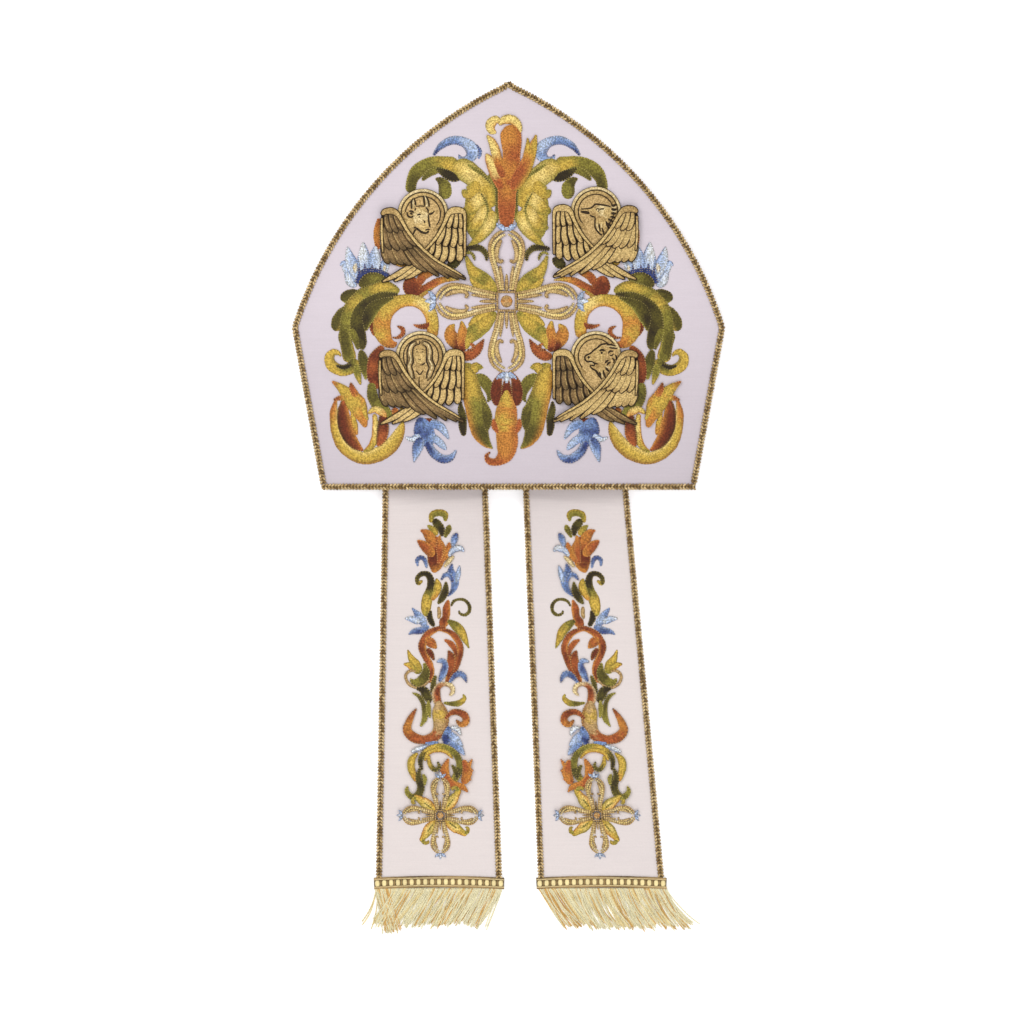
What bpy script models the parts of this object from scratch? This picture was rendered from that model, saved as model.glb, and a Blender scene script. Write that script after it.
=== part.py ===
"""A bishop's mitre lying on its back, with its two lappets laid out below the rim.

Metres, +Z up. The origin is the middle of the rim, on the surface that the mitre lies on.
+Y runs from the rim to the point of the crown, and the lappets lie towards -Y.
"""

import math

import bmesh
import bpy
from mathutils import Vector

# Crown boards: two stiff pointed panels, sewn together along the sides below the shoulders
RIM_WIDTH = 0.298
SHOULDER_WIDTH = 0.345
SHOULDER_HEIGHT = 0.129
CROWN_HEIGHT = 0.324
EDGE_BULGE = 0.0275
BOARD_THICKNESS = 0.0025

# How far the front board arches up over the back board
RIM_ARCH = 0.026
POINT_ARCH = 0.012

# Soft infill between the two upper edges, folded inwards
GUSSET_THICKNESS = 0.001
GUSSET_FOLD = 0.0011
GUSSET_REACH = 0.92
GUSSET_INSET = 0.0012
GUSSET_TURN_DEG = 60

# Gold braid along every cloth edge
BRAID_WIDTH = 0.0055
BRAID_THICKNESS = 0.0012
BRAID_OVERHANG = 0.001

# Lappets: two cloth bands sewn inside the back of the rim
LAPPET_TOP_WIDTH = 0.083
LAPPET_END_WIDTH = 0.1
LAPPET_LENGTH = 0.32
LAPPET_THICKNESS = 0.0018
LAPPET_TUCK = 0.025
DROP_START = 0.006
DROP_END = 0.026

# Fringe: a woven heading with locks of cord
HEADING_HEIGHT = 0.01
HEADING_THICKNESS = 0.0015
HEADING_OVERHANG = 0.002
LOCK_COUNT = 26
LOCK_LENGTH = 0.0375
LOCK_THICKNESS = 0.0017
LOCK_SPACE = 0.0007
LOCK_TIP_SHARE = 0.7
LOCK_FALL = 0.009
LOCK_BEND_SHARE = 0.6
LOCK_SHORTENING = 0.07
LOCK_SHORTENING_TURN = 2.4

# Four winged badges sewn on the front
BADGE_SPAN = 0.069
HALO_RADIUS = 0.0203
HALO_STEPS = 12
BADGE_THICKNESS = 0.0012
BADGE_CELL = 0.008

# Clearance between neighbouring pieces
FIT = 0.0003

CROWN_COLUMNS = 20
SIDE_ROWS = 5
ARC_ROWS = 15
DROP_ROWS = 6

# Each lappet: side of the crown, middle of its root, tilt, and lean of its locks at the inner and outer edge
LAPPETS = (
    # name, side, root as a share of the rim's width, tilt_deg, inner_lean_deg, outer_lean_deg
    ("left", -1, 0.1965, -0.55, 20.0, 22.0),
    ("right", 1, 0.18, 3.75, 17.0, 25.0),
)

# Right half of a badge's outline below its halo, from the wing's shoulder to the crossing of the tips
WING_OUTLINE = (
    # x, y as shares of half the span, from the halo's centre
    (0.80, 0.15),
    (0.95, 0.10),
    (1.00, -0.03),
    (0.97, -0.60),
    (0.93, -1.10),
    (0.66, -1.25),
    (0.97, -1.50),
    (0.92, -1.59),
    (0.40, -1.50),
    (0.00, -1.36),
)

# Each badge: its halo's centre
BADGES = (
    # symbol, x as a share of the rim's width, y as a share of the crown's height
    ("ox", -0.234, 0.682),
    ("eagle", 0.234, 0.682),
    ("man", -0.234, 0.326),
    ("lion", 0.234, 0.326),
)

BACK_UNDERSIDE = BRAID_THICKNESS + FIT
BACK_TOP = BACK_UNDERSIDE + BOARD_THICKNESS
FRONT_SEAT = BACK_TOP + FIT
HEM_TOP = BRAID_WIDTH - BRAID_OVERHANG


def clear_scene():
    for thing in list(bpy.data.objects):
        bpy.data.objects.remove(thing)


def finish_of(name, colour, roughness, metallic=0.0):
    """A Principled material with one colour."""
    material = bpy.data.materials.new(name)
    material.use_nodes = True
    shader = material.node_tree.nodes["Principled BSDF"]
    shader.inputs["Base Color"].default_value = (*colour, 1.0)
    shader.inputs["Roughness"].default_value = roughness
    shader.inputs["Metallic"].default_value = metallic
    return material


def add_mesh(name, places, faces, material, parent=None):
    mesh = bpy.data.meshes.new(name)
    mesh.from_pydata(places, [], faces)
    mesh.materials.append(material)
    piece = bpy.data.objects.new(name, mesh)
    bpy.context.scene.collection.objects.link(piece)
    piece.parent = parent
    return piece


def add_sheet(name, cells, lower, upper, material, parent=None):
    """A closed sheet. Its cells are flat polygons, counter-clockwise from above, that meet corner to corner."""
    numbers = {}
    faces = []
    for cell in cells:
        corners = [(round(x, 7), round(y, 7)) for x, y in cell]
        faces.append([numbers.setdefault(corner, len(numbers)) for corner in corners])
    count = len(numbers)
    places = [(x, y, lower(x, y)) for x, y in numbers]
    places += [(x, y, upper(x, y)) for x, y in numbers]
    edges = [pair for face in faces for pair in zip(face, face[1:] + face[:1])]
    paired = set(edges)
    rim = [(start, end) for start, end in edges if (end, start) not in paired]
    walls = [[start, end, end + count, start + count] for start, end in rim]
    top = [[number + count for number in face] for face in faces]
    bottom = [face[::-1] for face in faces]
    return add_mesh(name, places, top + bottom + walls, material, parent)


def arc_of_edge():
    """Centre, radius, first angle and last angle of the right upper edge, from shoulder to point."""
    shoulder = Vector((SHOULDER_WIDTH / 2, SHOULDER_HEIGHT))
    point = Vector((0.0, CROWN_HEIGHT))
    chord = point - shoulder
    radius = chord.length**2 / (8 * EDGE_BULGE) + EDGE_BULGE / 2
    inward = Vector((-chord.y, chord.x)).normalized()
    centre = (shoulder + point) / 2 + inward * (radius - EDGE_BULGE)
    angles = [math.atan2(end.y - centre.y, end.x - centre.x) for end in (shoulder, point)]
    return centre, radius, angles[0], angles[1]


def edge_points():
    """The right edge of a board from the rim to the point, as (half width, height)."""
    points = []
    for row in range(SIDE_ROWS):
        share = row / SIDE_ROWS
        half = (RIM_WIDTH + (SHOULDER_WIDTH - RIM_WIDTH) * share) / 2
        points.append((half, SHOULDER_HEIGHT * share))
    centre, radius, first, last = arc_of_edge()
    for row in range(ARC_ROWS + 1):
        angle = first + (last - first) * row / ARC_ROWS
        points.append((centre.x + radius * math.cos(angle), centre.y + radius * math.sin(angle)))
    points[-1] = (0.0, CROWN_HEIGHT)
    return points


def side_half_width(height):
    """Half width of a board's straight lower part, carried on above and below it."""
    growth = (SHOULDER_WIDTH - RIM_WIDTH) / SHOULDER_HEIGHT / 2
    return RIM_WIDTH / 2 + growth * min(height, SHOULDER_HEIGHT)


def arch(x, y):
    """How far the front board stands above its side seams."""
    rise = RIM_ARCH + (POINT_ARCH - RIM_ARCH) * y / CROWN_HEIGHT
    return rise * (1 - (x / side_half_width(y)) ** 2)


def front_underside(x, y):
    return FRONT_SEAT + arch(x, y)


def front_top(x, y):
    return front_underside(x, y) + BOARD_THICKNESS


def level(height):
    """A height function that is the same everywhere."""
    return lambda x, y: height


def board_cells():
    """Rows of cells that fill a board's outline, closing at the point."""
    rows = edge_points()
    cells = []
    for (half, height), (next_half, next_height) in zip(rows, rows[1:]):
        for column in range(CROWN_COLUMNS):
            near, far = (2 * k / CROWN_COLUMNS - 1 for k in (column, column + 1))
            cell = [(half * near, height), (half * far, height)]
            if next_half > 0:
                cell += [(next_half * far, next_height), (next_half * near, next_height)]
            else:
                cell.append((0.0, next_height))
            cells.append(cell)
    return cells


def add_boards(cloth):
    add_sheet("front_panel", board_cells(), front_underside, front_top, cloth)
    right = edge_points()
    left = [(-half, height) for half, height in right[-2::-1]]
    add_sheet("back_panel", [right + left], level(BACK_UNDERSIDE), level(BACK_TOP), cloth)


def edge_height_at(x):
    """Height of a board's upper edge above the rim at a distance x from the middle."""
    centre, radius, _, _ = arc_of_edge()
    return centre.y + math.sqrt(radius**2 - (abs(x) - centre.x) ** 2)


def gusset_section(x):
    """One section of the folded infill, as (y, z) corners round its C-shaped outline."""
    half_cloth = GUSSET_THICKNESS / 2
    edge = edge_height_at(x) - GUSSET_INSET
    crease = SHOULDER_HEIGHT
    room = front_underside(x, crease) - BACK_TOP
    middle = BACK_TOP + room / 2
    fold = GUSSET_FOLD / 2 + half_cloth
    upper = front_underside(x, edge) - FIT - half_cloth
    lower = BACK_TOP + FIT + half_cloth
    outer, inner = fold + half_cloth, fold - half_cloth
    turns = [math.radians(angle) for angle in (GUSSET_TURN_DEG, 0, -GUSSET_TURN_DEG)]
    outer_turn = [(crease - outer * math.cos(a), middle + outer * math.sin(a)) for a in turns]
    inner_turn = [(crease - inner * math.cos(a), middle + inner * math.sin(a)) for a in turns]
    return [
        (edge, upper + half_cloth),
        (crease, middle + outer),
        *outer_turn,
        (crease, middle - outer),
        (edge, lower - half_cloth),
        (edge, lower + half_cloth),
        (crease, middle - inner),
        *inner_turn[::-1],
        (crease, middle + inner),
        (edge, upper - half_cloth),
    ]


def add_gusset(cloth):
    """Lofts the infill through sections from one shoulder to the other."""
    reach = SHOULDER_WIDTH / 2 * GUSSET_REACH
    sections = []
    for column in range(CROWN_COLUMNS + 1):
        x = -reach * math.cos(math.pi * column / CROWN_COLUMNS)
        sections.append([(x, y, z) for y, z in gusset_section(x)])
    size = len(sections[0])
    faces = []
    for column in range(CROWN_COLUMNS):
        start = column * size
        for k in range(size):
            after = (k + 1) % size
            faces.append([start + k, start + after, start + size + after, start + size + k])
    faces.append(list(range(size))[::-1])
    faces.append([CROWN_COLUMNS * size + k for k in range(size)])
    places = [place for section in sections for place in section]
    return add_mesh("gusset", places, faces, cloth)


def offset_path(path, distance):
    """A path moved to its left by a distance, mitred at its corners and cut level at its two ends."""
    moved = []
    for k, place in enumerate(path):
        before = (place - path[k - 1]).normalized() if k else None
        after = (path[k + 1] - place).normalized() if k + 1 < len(path) else None
        if before is None or after is None:
            along = after or before
            side = Vector((-math.copysign(1.0, along.y), 0.0))
            moved.append(place + side * distance / abs(along.y))
            continue
        normals = [Vector((-step.y, step.x)) for step in (before, after)]
        mitre = (normals[0] + normals[1]).normalized()
        moved.append(place + mitre * distance / mitre.dot(normals[0]))
    return moved


def strip_cells(inner, outer):
    cells = []
    for k in range(len(inner) - 1):
        cells.append([inner[k], inner[k + 1], outer[k + 1], outer[k]])
    return cells


def crown_braid_cells():
    """The braid up one side, over the point and down the other, ending above the hem braid."""
    right = [Vector(point) for point in edge_points()]
    start = HEM_TOP + FIT
    right[0] = Vector((side_half_width(start), start))
    left = [Vector((-place.x, place.y)) for place in right]
    path = left + right[-2::-1]
    inner = offset_path(path, BRAID_OVERHANG - BRAID_WIDTH)
    outer = offset_path(path, BRAID_OVERHANG)
    return strip_cells(inner, outer)


def hem_braid_cells(columns):
    """The braid across the rim, over its full width."""
    ends = [side_half_width(y) + BRAID_OVERHANG for y in (-BRAID_OVERHANG, HEM_TOP)]
    shares = [2 * k / columns - 1 for k in range(columns + 1)]
    lower = [(ends[0] * share, -BRAID_OVERHANG) for share in shares]
    upper = [(ends[1] * share, HEM_TOP) for share in shares]
    return strip_cells(lower, upper)


def add_crown_braids(gold):
    def over_front(x, y):
        return front_top(x, y) + FIT

    def braid_top(x, y):
        return over_front(x, y) + BRAID_THICKNESS

    add_sheet("front_edge_braid", crown_braid_cells(), over_front, braid_top, gold)
    add_sheet("front_hem_braid", hem_braid_cells(CROWN_COLUMNS), over_front, braid_top, gold)
    add_sheet("back_edge_braid", crown_braid_cells(), level(0.0), level(BRAID_THICKNESS), gold)
    add_sheet("back_hem_braid", hem_braid_cells(1), level(0.0), level(BRAID_THICKNESS), gold)


def badge_outline():
    """The outline of a halo with two wings that cross below it, counter-clockwise."""
    half_span = BADGE_SPAN / 2
    right = [(x * half_span, y * half_span) for x, y in WING_OUTLINE]
    joint = math.asin(right[0][1] / HALO_RADIUS)
    turn = [joint + (math.pi - 2 * joint) * k / HALO_STEPS for k in range(HALO_STEPS + 1)]
    halo = [(HALO_RADIUS * math.cos(angle), HALO_RADIUS * math.sin(angle)) for angle in turn]
    left = [(-x, y) for x, y in right[:-1]]
    return halo + left + right[::-1]


def badge_cells(centre_x, centre_y):
    """The badge's outline cut into narrow upright strips, so that it can follow the arched front."""
    flat = bmesh.new()
    corners = [flat.verts.new((centre_x + x, centre_y + y, 0.0)) for x, y in badge_outline()]
    flat.faces.new(corners)
    bmesh.ops.triangulate(flat, faces=flat.faces[:])
    cuts = int(BADGE_SPAN / BADGE_CELL)
    for k in range(1, cuts):
        place = Vector((centre_x - BADGE_SPAN / 2 + BADGE_SPAN * k / cuts, 0.0, 0.0))
        everything = flat.verts[:] + flat.edges[:] + flat.faces[:]
        bmesh.ops.bisect_plane(flat, geom=everything, plane_co=place, plane_no=(1.0, 0.0, 0.0))
    cells = [[(vertex.co.x, vertex.co.y) for vertex in face.verts] for face in flat.faces]
    flat.free()
    return cells


def add_badges(gold):
    def under_badge(x, y):
        return front_top(x, y) + FIT

    def badge_top(x, y):
        return under_badge(x, y) + BADGE_THICKNESS

    for symbol, across, up in BADGES:
        cells = badge_cells(RIM_WIDTH * across, CROWN_HEIGHT * up)
        add_sheet(f"badge_{symbol}", cells, under_badge, badge_top, gold)


def lappet_underside(x, y):
    """Height of a lappet's lower face: on the back board inside the rim, on the table below it."""
    share = min(max((-y - DROP_START) / (DROP_END - DROP_START), 0.0), 1.0)
    return FRONT_SEAT * (1 - share * share * (3 - 2 * share))


def lappet_top(x, y):
    return lappet_underside(x, y) + LAPPET_THICKNESS


def lappet_half_width(y):
    share = max(-y, 0.0) / LAPPET_LENGTH
    return (LAPPET_TOP_WIDTH + (LAPPET_END_WIDTH - LAPPET_TOP_WIDTH) * share) / 2


def lappet_rows(last):
    """Places along a lappet, close together where it drops from the rim to the table."""
    drop = [DROP_START + (DROP_END - DROP_START) * k / DROP_ROWS for k in range(DROP_ROWS + 1)]
    return [LAPPET_TUCK, 0.0, *[-y for y in drop], last]


def lappet_strip(last, left_edge, right_edge):
    """Cells between two edges that follow the lappet, from its tuck to its last row."""
    rows = lappet_rows(last)
    left = [(left_edge(y), y) for y in rows]
    right = [(right_edge(y), y) for y in rows]
    return strip_cells(left, right)


def leaned(cells, lean):
    """The same cells moved sideways in step with their distance from the rim, so level edges stay level."""
    return [[(x + lean * y, y) for x, y in cell] for cell in cells]


def add_lappet(name, lean, cloth, gold, parent):
    def left_edge(y):
        return -lappet_half_width(y)

    def over_lappet(x, y):
        return lappet_top(x, y) + FIT

    def braid_top(x, y):
        return over_lappet(x, y) + BRAID_THICKNESS

    band = lappet_strip(-LAPPET_LENGTH, left_edge, lappet_half_width)
    add_sheet(f"lappet_{name}", leaned(band, lean), lappet_underside, lappet_top, cloth, parent)
    last = HEADING_HEIGHT + FIT - LAPPET_LENGTH
    for place, side in (("outer", -1), ("inner", 1)):

        def near(y, side=side):
            return side * (lappet_half_width(y) + BRAID_OVERHANG) - max(side, 0) * BRAID_WIDTH

        def far(y, near=near):
            return near(y) + BRAID_WIDTH

        cells = leaned(lappet_strip(last, near, far), lean)
        add_sheet(f"lappet_{name}_{place}_braid", cells, over_lappet, braid_top, gold, parent)


def fringe_height(y):
    """Height of the fringe's lower face: on the lappet at the heading, on the table at the tips."""
    share = min(max((-y - LAPPET_LENGTH - FIT) / LOCK_FALL, 0.0), 1.0)
    return (LAPPET_THICKNESS + FIT) * (1 - share)


def fringe_thickness(y):
    share = min(max((-y - LAPPET_LENGTH) / LOCK_FALL, 0.0), 1.0)
    return HEADING_THICKNESS + (LOCK_THICKNESS - HEADING_THICKNESS) * share


def fringe_cells(inner_lean, outer_lean):
    """The heading, and the locks that hang from its lower edge like the teeth of a comb."""
    half = LAPPET_END_WIDTH / 2 + HEADING_OVERHANG
    top, root = HEADING_HEIGHT - LAPPET_LENGTH, -LAPPET_LENGTH - FIT
    pitch = 2 * half / LOCK_COUNT
    cells = []
    for k in range(LOCK_COUNT):
        left = -half + pitch * k
        right = left + pitch
        start = left + LOCK_SPACE / 2
        end = right - LOCK_SPACE / 2
        cells.append([(start, root), (end, root), (end, top), (start, top)])
        if k:
            bridge = left - LOCK_SPACE / 2
            cells.append([(bridge, root), (start, root), (start, top), (bridge, top)])
        share = (k + 0.5) / LOCK_COUNT
        lean = math.radians(outer_lean + (inner_lean - outer_lean) * share)
        length = LOCK_LENGTH * (1 - LOCK_SHORTENING * math.sin(LOCK_SHORTENING_TURN * k) ** 2)
        falls = [LOCK_FALL, length * LOCK_BEND_SHARE, length]
        widths = [1.0, (1 + LOCK_TIP_SHARE) / 2, LOCK_TIP_SHARE]
        last = [(start, root), (end, root)]
        for fall, width in zip(falls, widths):
            middle = (start + end) / 2 - math.sin(lean) * fall
            reach = (end - start) / 2 * width
            y = root - fall * math.cos(lean)
            lower = [(middle - reach, y), (middle + reach, y)]
            cells.append([*lower, last[1], last[0]])
            last = lower
    return cells


def add_fringe(name, lean, inner_lean, outer_lean, cord, parent):
    def lower(x, y):
        return fringe_height(y)

    def upper(x, y):
        return fringe_height(y) + fringe_thickness(y)

    cells = leaned(fringe_cells(inner_lean, outer_lean), lean)
    add_sheet(f"fringe_{name}", cells, lower, upper, cord, parent)


def add_lappets(cloth, gold, cord):
    """Builds each lappet outer edge first, in its own frame, and leans it out from the rim."""
    for name, side, root_share, tilt, inner_lean, outer_lean in LAPPETS:
        root = bpy.data.objects.new(f"lappet_{name}_root", None)
        bpy.context.scene.collection.objects.link(root)
        root.location = (side * RIM_WIDTH * root_share, 0.0, 0.0)
        root.scale = (-side, 1.0, 1.0)
        lean = math.tan(math.radians(tilt))
        add_lappet(name, lean, cloth, gold, root)
        add_fringe(name, lean, inner_lean, outer_lean, cord, root)


def main():
    clear_scene()
    crown_cloth = finish_of("crown_cloth", (0.76, 0.70, 0.75), 0.85)
    lappet_cloth = finish_of("lappet_cloth", (0.83, 0.78, 0.75), 0.8)
    gold_braid = finish_of("gold_braid", (0.52, 0.38, 0.19), 0.5, 0.3)
    gold_badge = finish_of("gold_badge", (0.55, 0.40, 0.18), 0.4, 0.4)
    fringe_cord = finish_of("fringe_cord", (0.85, 0.65, 0.33), 0.5, 0.1)
    add_boards(crown_cloth)
    add_gusset(crown_cloth)
    add_crown_braids(gold_braid)
    add_badges(gold_badge)
    add_lappets(lappet_cloth, gold_braid, fringe_cord)


main()
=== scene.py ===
import math
import random

import bmesh
import bpy
from mathutils import Matrix, Vector, noise


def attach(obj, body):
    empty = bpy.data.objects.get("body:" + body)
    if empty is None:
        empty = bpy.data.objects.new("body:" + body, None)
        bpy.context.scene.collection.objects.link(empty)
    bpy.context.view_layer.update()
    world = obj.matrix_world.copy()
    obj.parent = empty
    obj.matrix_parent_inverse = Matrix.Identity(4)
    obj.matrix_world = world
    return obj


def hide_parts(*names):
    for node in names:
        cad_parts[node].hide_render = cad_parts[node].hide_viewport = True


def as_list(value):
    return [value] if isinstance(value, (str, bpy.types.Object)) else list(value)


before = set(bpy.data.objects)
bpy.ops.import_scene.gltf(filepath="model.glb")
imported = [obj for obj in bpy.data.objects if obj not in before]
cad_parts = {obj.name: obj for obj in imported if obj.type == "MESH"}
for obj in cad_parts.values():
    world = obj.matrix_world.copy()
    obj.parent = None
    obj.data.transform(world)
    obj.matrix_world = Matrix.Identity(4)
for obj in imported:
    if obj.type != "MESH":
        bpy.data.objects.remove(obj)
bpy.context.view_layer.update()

# Camera
# The mitre is photographed from straight above. A long lens keeps its edges free of perspective.
PICTURE_SPAN = 0.8192
PICTURE_CENTRE = (0.0028, -0.0184)
LENS_MM = 300.0
SENSOR_MM = 36.0

lens = bpy.data.cameras.new("camera")
lens.lens = LENS_MM
lens.sensor_width = SENSOR_MM
lens.clip_end = 50.0
camera = bpy.data.objects.new("camera", lens)
camera.location = (*PICTURE_CENTRE, PICTURE_SPAN * LENS_MM / SENSOR_MM)
bpy.context.scene.collection.objects.link(camera)
bpy.context.scene.camera = camera
bpy.context.scene.view_settings.view_transform = "Standard"

# Floor and studio light
# A white sheet of card, lit softly from all round. The lamp at the upper left is the strongest and shapes the
# relief, and the two others soften its shadows.
FLOOR_SIZE = 6.0
FLOOR_DROP = 0.0003
WHITE = (1.0, 1.0, 1.0, 1.0)
CARD_TONE = 0.95
CARD_MOTTLE = 0.02
CARD_MOTTLE_SCALE = 3.0
CARD_ROUGHNESS = 0.9
CARD_GLOW = 0.3
ROOM_LIGHT = 0.6
LAMPS = (
    # name, place, size, power
    ("key_lamp", (-1.4, 1.0, 2.3), 1.5, 30.0),
    ("fill_lamp", (1.5, -0.5, 2.2), 1.8, 14.0),
    ("rim_lamp", (0.0, -1.9, 1.7), 1.6, 13.0),
)


class Wire:
    """One output of a shader node. Arithmetic on it adds Math nodes."""

    def __init__(self, finish, output):
        self.finish = finish
        self.output = output

    def __add__(self, other):
        return self.finish.maths("ADD", self, other)

    def __sub__(self, other):
        return self.finish.maths("SUBTRACT", self, other)

    def __rsub__(self, other):
        return self.finish.maths("SUBTRACT", other, self)

    def __mul__(self, other):
        return self.finish.maths("MULTIPLY", self, other)

    __radd__ = __add__


class Finish:
    """A material and its nodes. node() adds one node, and wear() feeds the surface shader."""

    def __init__(self, name):
        self.material = bpy.data.materials.new(name)
        self.material.use_nodes = True
        self.tree = self.material.node_tree

    def node(self, kind, settings, sockets, output=0):
        added = self.tree.nodes.new(kind)
        for setting, value in settings.items():
            if setting == "stops":
                self.set_stops(added.color_ramp, value)
            else:
                setattr(added, setting, value)
        for socket, value in sockets.items():
            self.feed(added.inputs[socket], value)
        return Wire(self, added.outputs[output])

    def set_stops(self, ramp, stops):
        while len(ramp.elements) < len(stops):
            ramp.elements.new(0.5)
        for element, (place, colour) in zip(ramp.elements, stops):
            element.position = place
            element.color = colour

    def feed(self, socket, value):
        if isinstance(value, Wire):
            self.tree.links.new(value.output, socket)
        else:
            socket.default_value = value

    def wear(self, **sockets):
        surface = self.tree.nodes["Principled BSDF"]
        for name, value in sockets.items():
            self.feed(surface.inputs[name.replace("_", " ")], value)
        return self.material

    def maths(self, operation, *values, clamp=False):
        settings = {"operation": operation, "use_clamp": clamp}
        return self.node("ShaderNodeMath", settings, dict(enumerate(values)))

    def place(self):
        """Where a point of the surface is, in metres."""
        return self.node("ShaderNodeTexCoord", {}, {}, "Object")

    def speckle(self, where, scale, detail=2.0):
        return self.node("ShaderNodeTexNoise", {}, {"Vector": where, "Scale": scale, "Detail": detail})

    def blend(self, factor, first, second, how="MIX"):
        settings = {"data_type": "RGBA", "blend_type": how}
        return self.node("ShaderNodeMix", settings, {0: factor, 6: first, 7: second}, 2)

    def shade(self, brightness, colour):
        """The colour, multiplied by a brightness that changes over the surface."""
        grey = self.node("ShaderNodeCombineColor", {}, {0: brightness, 1: brightness, 2: brightness})
        return self.blend(1.0, colour, grey, "MULTIPLY")

    def relief(self, height, distance, strength=1.0, under=None):
        sockets = {"Height": height, "Distance": distance, "Strength": strength}
        if under is not None:
            sockets["Normal"] = under
        return self.node("ShaderNodeBump", {}, sockets)


def paint(red, green, blue):
    """A colour given as it looks on a screen, 0 to 255, as the shader wants it."""
    shares = [value / 255 for value in (red, green, blue)]
    return (*[s / 12.92 if s < 0.04045 else ((s + 0.055) / 1.055) ** 2.4 for s in shares], 1.0)


half_floor = FLOOR_SIZE / 2
floor_mesh = bpy.data.meshes.new("floor")
floor_corners = ((-half_floor, -half_floor), (half_floor, -half_floor), (half_floor, half_floor),
                 (-half_floor, half_floor))
floor_mesh.from_pydata([(x, y, -FLOOR_DROP) for x, y in floor_corners], [], [(0, 1, 2, 3)])
floor = bpy.data.objects.new("floor", floor_mesh)
bpy.context.scene.collection.objects.link(floor)
card = Finish("white_card")
card_tone = card.speckle(card.place(), CARD_MOTTLE_SCALE) * CARD_MOTTLE + CARD_TONE
floor_mesh.materials.append(card.wear(
    Base_Color=card.shade(card_tone, WHITE), Roughness=CARD_ROUGHNESS,
    Emission_Color=WHITE, Emission_Strength=CARD_GLOW,
))

room = bpy.data.worlds.new("room")
room.use_nodes = True
room_glow = room.node_tree.nodes["Background"]
room_glow.inputs["Color"].default_value = WHITE
room_glow.inputs["Strength"].default_value = ROOM_LIGHT
bpy.context.scene.world = room
for lamp_name, lamp_place, lamp_size, lamp_power in LAMPS:
    lamp_light = bpy.data.lights.new(lamp_name, "AREA")
    lamp_light.size = lamp_size
    lamp_light.energy = lamp_power
    lamp = bpy.data.objects.new(lamp_name, lamp_light)
    lamp.location = lamp_place
    lamp.rotation_euler = (-Vector(lamp_place)).to_track_quat("-Z", "Y").to_euler()
    bpy.context.scene.collection.objects.link(lamp)

# Crown boards
# Two stiff boards covered in fine ribbed silk, cut to the same pointed outline. The front one bows up over
# the head hollow, and the back one lies flat. All lengths from here on are in millimetres.
MM = 0.001
RIM_WIDTH = 298.0
SHOULDER_WIDTH = 345.0
SHOULDER_HEIGHT = 129.0
CROWN_HEIGHT = 324.0
EDGE_BULGE = 27.5
BOARD_THICKNESS = 2.5
RIM_ARCH = 26.0
POINT_ARCH = 12.0
BRAID_WIDTH = 5.5
BRAID_THICKNESS = 1.2
BRAID_OVERHANG = 1.0
FIT = 0.3
BACK_TOP = BRAID_THICKNESS + FIT + BOARD_THICKNESS
FRONT_SEAT = BACK_TOP + FIT
RIPPLE_HEIGHT = 0.35
RIPPLE_SPAN = 55.0
BACK_RIPPLE_SHARE = 0.3
ROWS_TO_SHOULDER = 32
ROWS_ABOVE_SHOULDER = 52
BOARD_COLUMNS = 64
SLAB_SHARP_DEG = 40
RIB_PITCH = 0.85
RIB_DRIFT = 3.0
# How many waves of unevenness the silk has in a metre, and by how much each of them darkens it
SILK_DRIFT_SCALE = 260.0
SILK_BROAD_SCALE = 9.0
SILK_SLUB_SCALE = 900.0
SILK_STREAK_SCALE = (30.0, 700.0, 1.0)
RIB_SHADE = 0.018
SLUB_SHADE = 0.10
STREAK_SHADE = 0.09
SILK_SHADE = 0.905
# Painted shade: how much darker the crown silk is painted at the rim, and how high above it, in metres, that
# shade fades out
RIM_PAINTED_SHADE = 0.14
RIM_PAINTED_SHADE_REACH = 0.16
SILK_RELIEF = 0.12

edge_chord = Vector((-SHOULDER_WIDTH / 2, CROWN_HEIGHT - SHOULDER_HEIGHT))
edge_radius = edge_chord.length**2 / (8 * EDGE_BULGE) + EDGE_BULGE / 2
edge_inward = Vector((-edge_chord.y, edge_chord.x)).normalized()
edge_middle = Vector((SHOULDER_WIDTH / 4, (SHOULDER_HEIGHT + CROWN_HEIGHT) / 2))
edge_centre = edge_middle + edge_inward * (edge_radius - EDGE_BULGE)


def side_half_width(height):
    growth = (SHOULDER_WIDTH - RIM_WIDTH) / SHOULDER_HEIGHT / 2
    return RIM_WIDTH / 2 + growth * min(height, SHOULDER_HEIGHT)


def crown_half_width(height):
    """Half the crown's width at a height above the rim."""
    if height <= SHOULDER_HEIGHT:
        return side_half_width(height)
    reach = edge_radius**2 - (height - edge_centre.y) ** 2
    return max(edge_centre.x + math.sqrt(reach), 0.0)


def arch(x, y):
    rise = RIM_ARCH + (POINT_ARCH - RIM_ARCH) * y / CROWN_HEIGHT
    return rise * (1 - (x / side_half_width(y)) ** 2)


def ripple(x, y):
    """The faint waves of cloth that is glued over a board."""
    return RIPPLE_HEIGHT * noise.noise(Vector((x / RIPPLE_SPAN, y / RIPPLE_SPAN, 0.3)))


def front_underside(x, y):
    return FRONT_SEAT + arch(x, y)


def front_top(x, y):
    return front_underside(x, y) + BOARD_THICKNESS + ripple(x, y)


def piece_from(name, points, faces, materials, smooth=True):
    """A mesh object from points in millimetres."""
    mesh = bpy.data.meshes.new(name)
    mesh.from_pydata([(x * MM, y * MM, z * MM) for x, y, z in points], [], faces)
    for material in materials:
        mesh.materials.append(material)
    mesh.polygons.foreach_set("use_smooth", [smooth] * len(mesh.polygons))
    piece = bpy.data.objects.new(name, mesh)
    bpy.context.scene.collection.objects.link(piece)
    return piece


def tidy_mesh(piece, merge=0.00001):
    """Merges points that meet and turns every face outwards."""
    shape = bmesh.new()
    shape.from_mesh(piece.data)
    bmesh.ops.remove_doubles(shape, verts=shape.verts, dist=merge)
    bmesh.ops.dissolve_degenerate(shape, edges=shape.edges, dist=merge)
    bmesh.ops.recalc_face_normals(shape, faces=shape.faces)
    shape.to_mesh(piece.data)
    shape.free()


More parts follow.
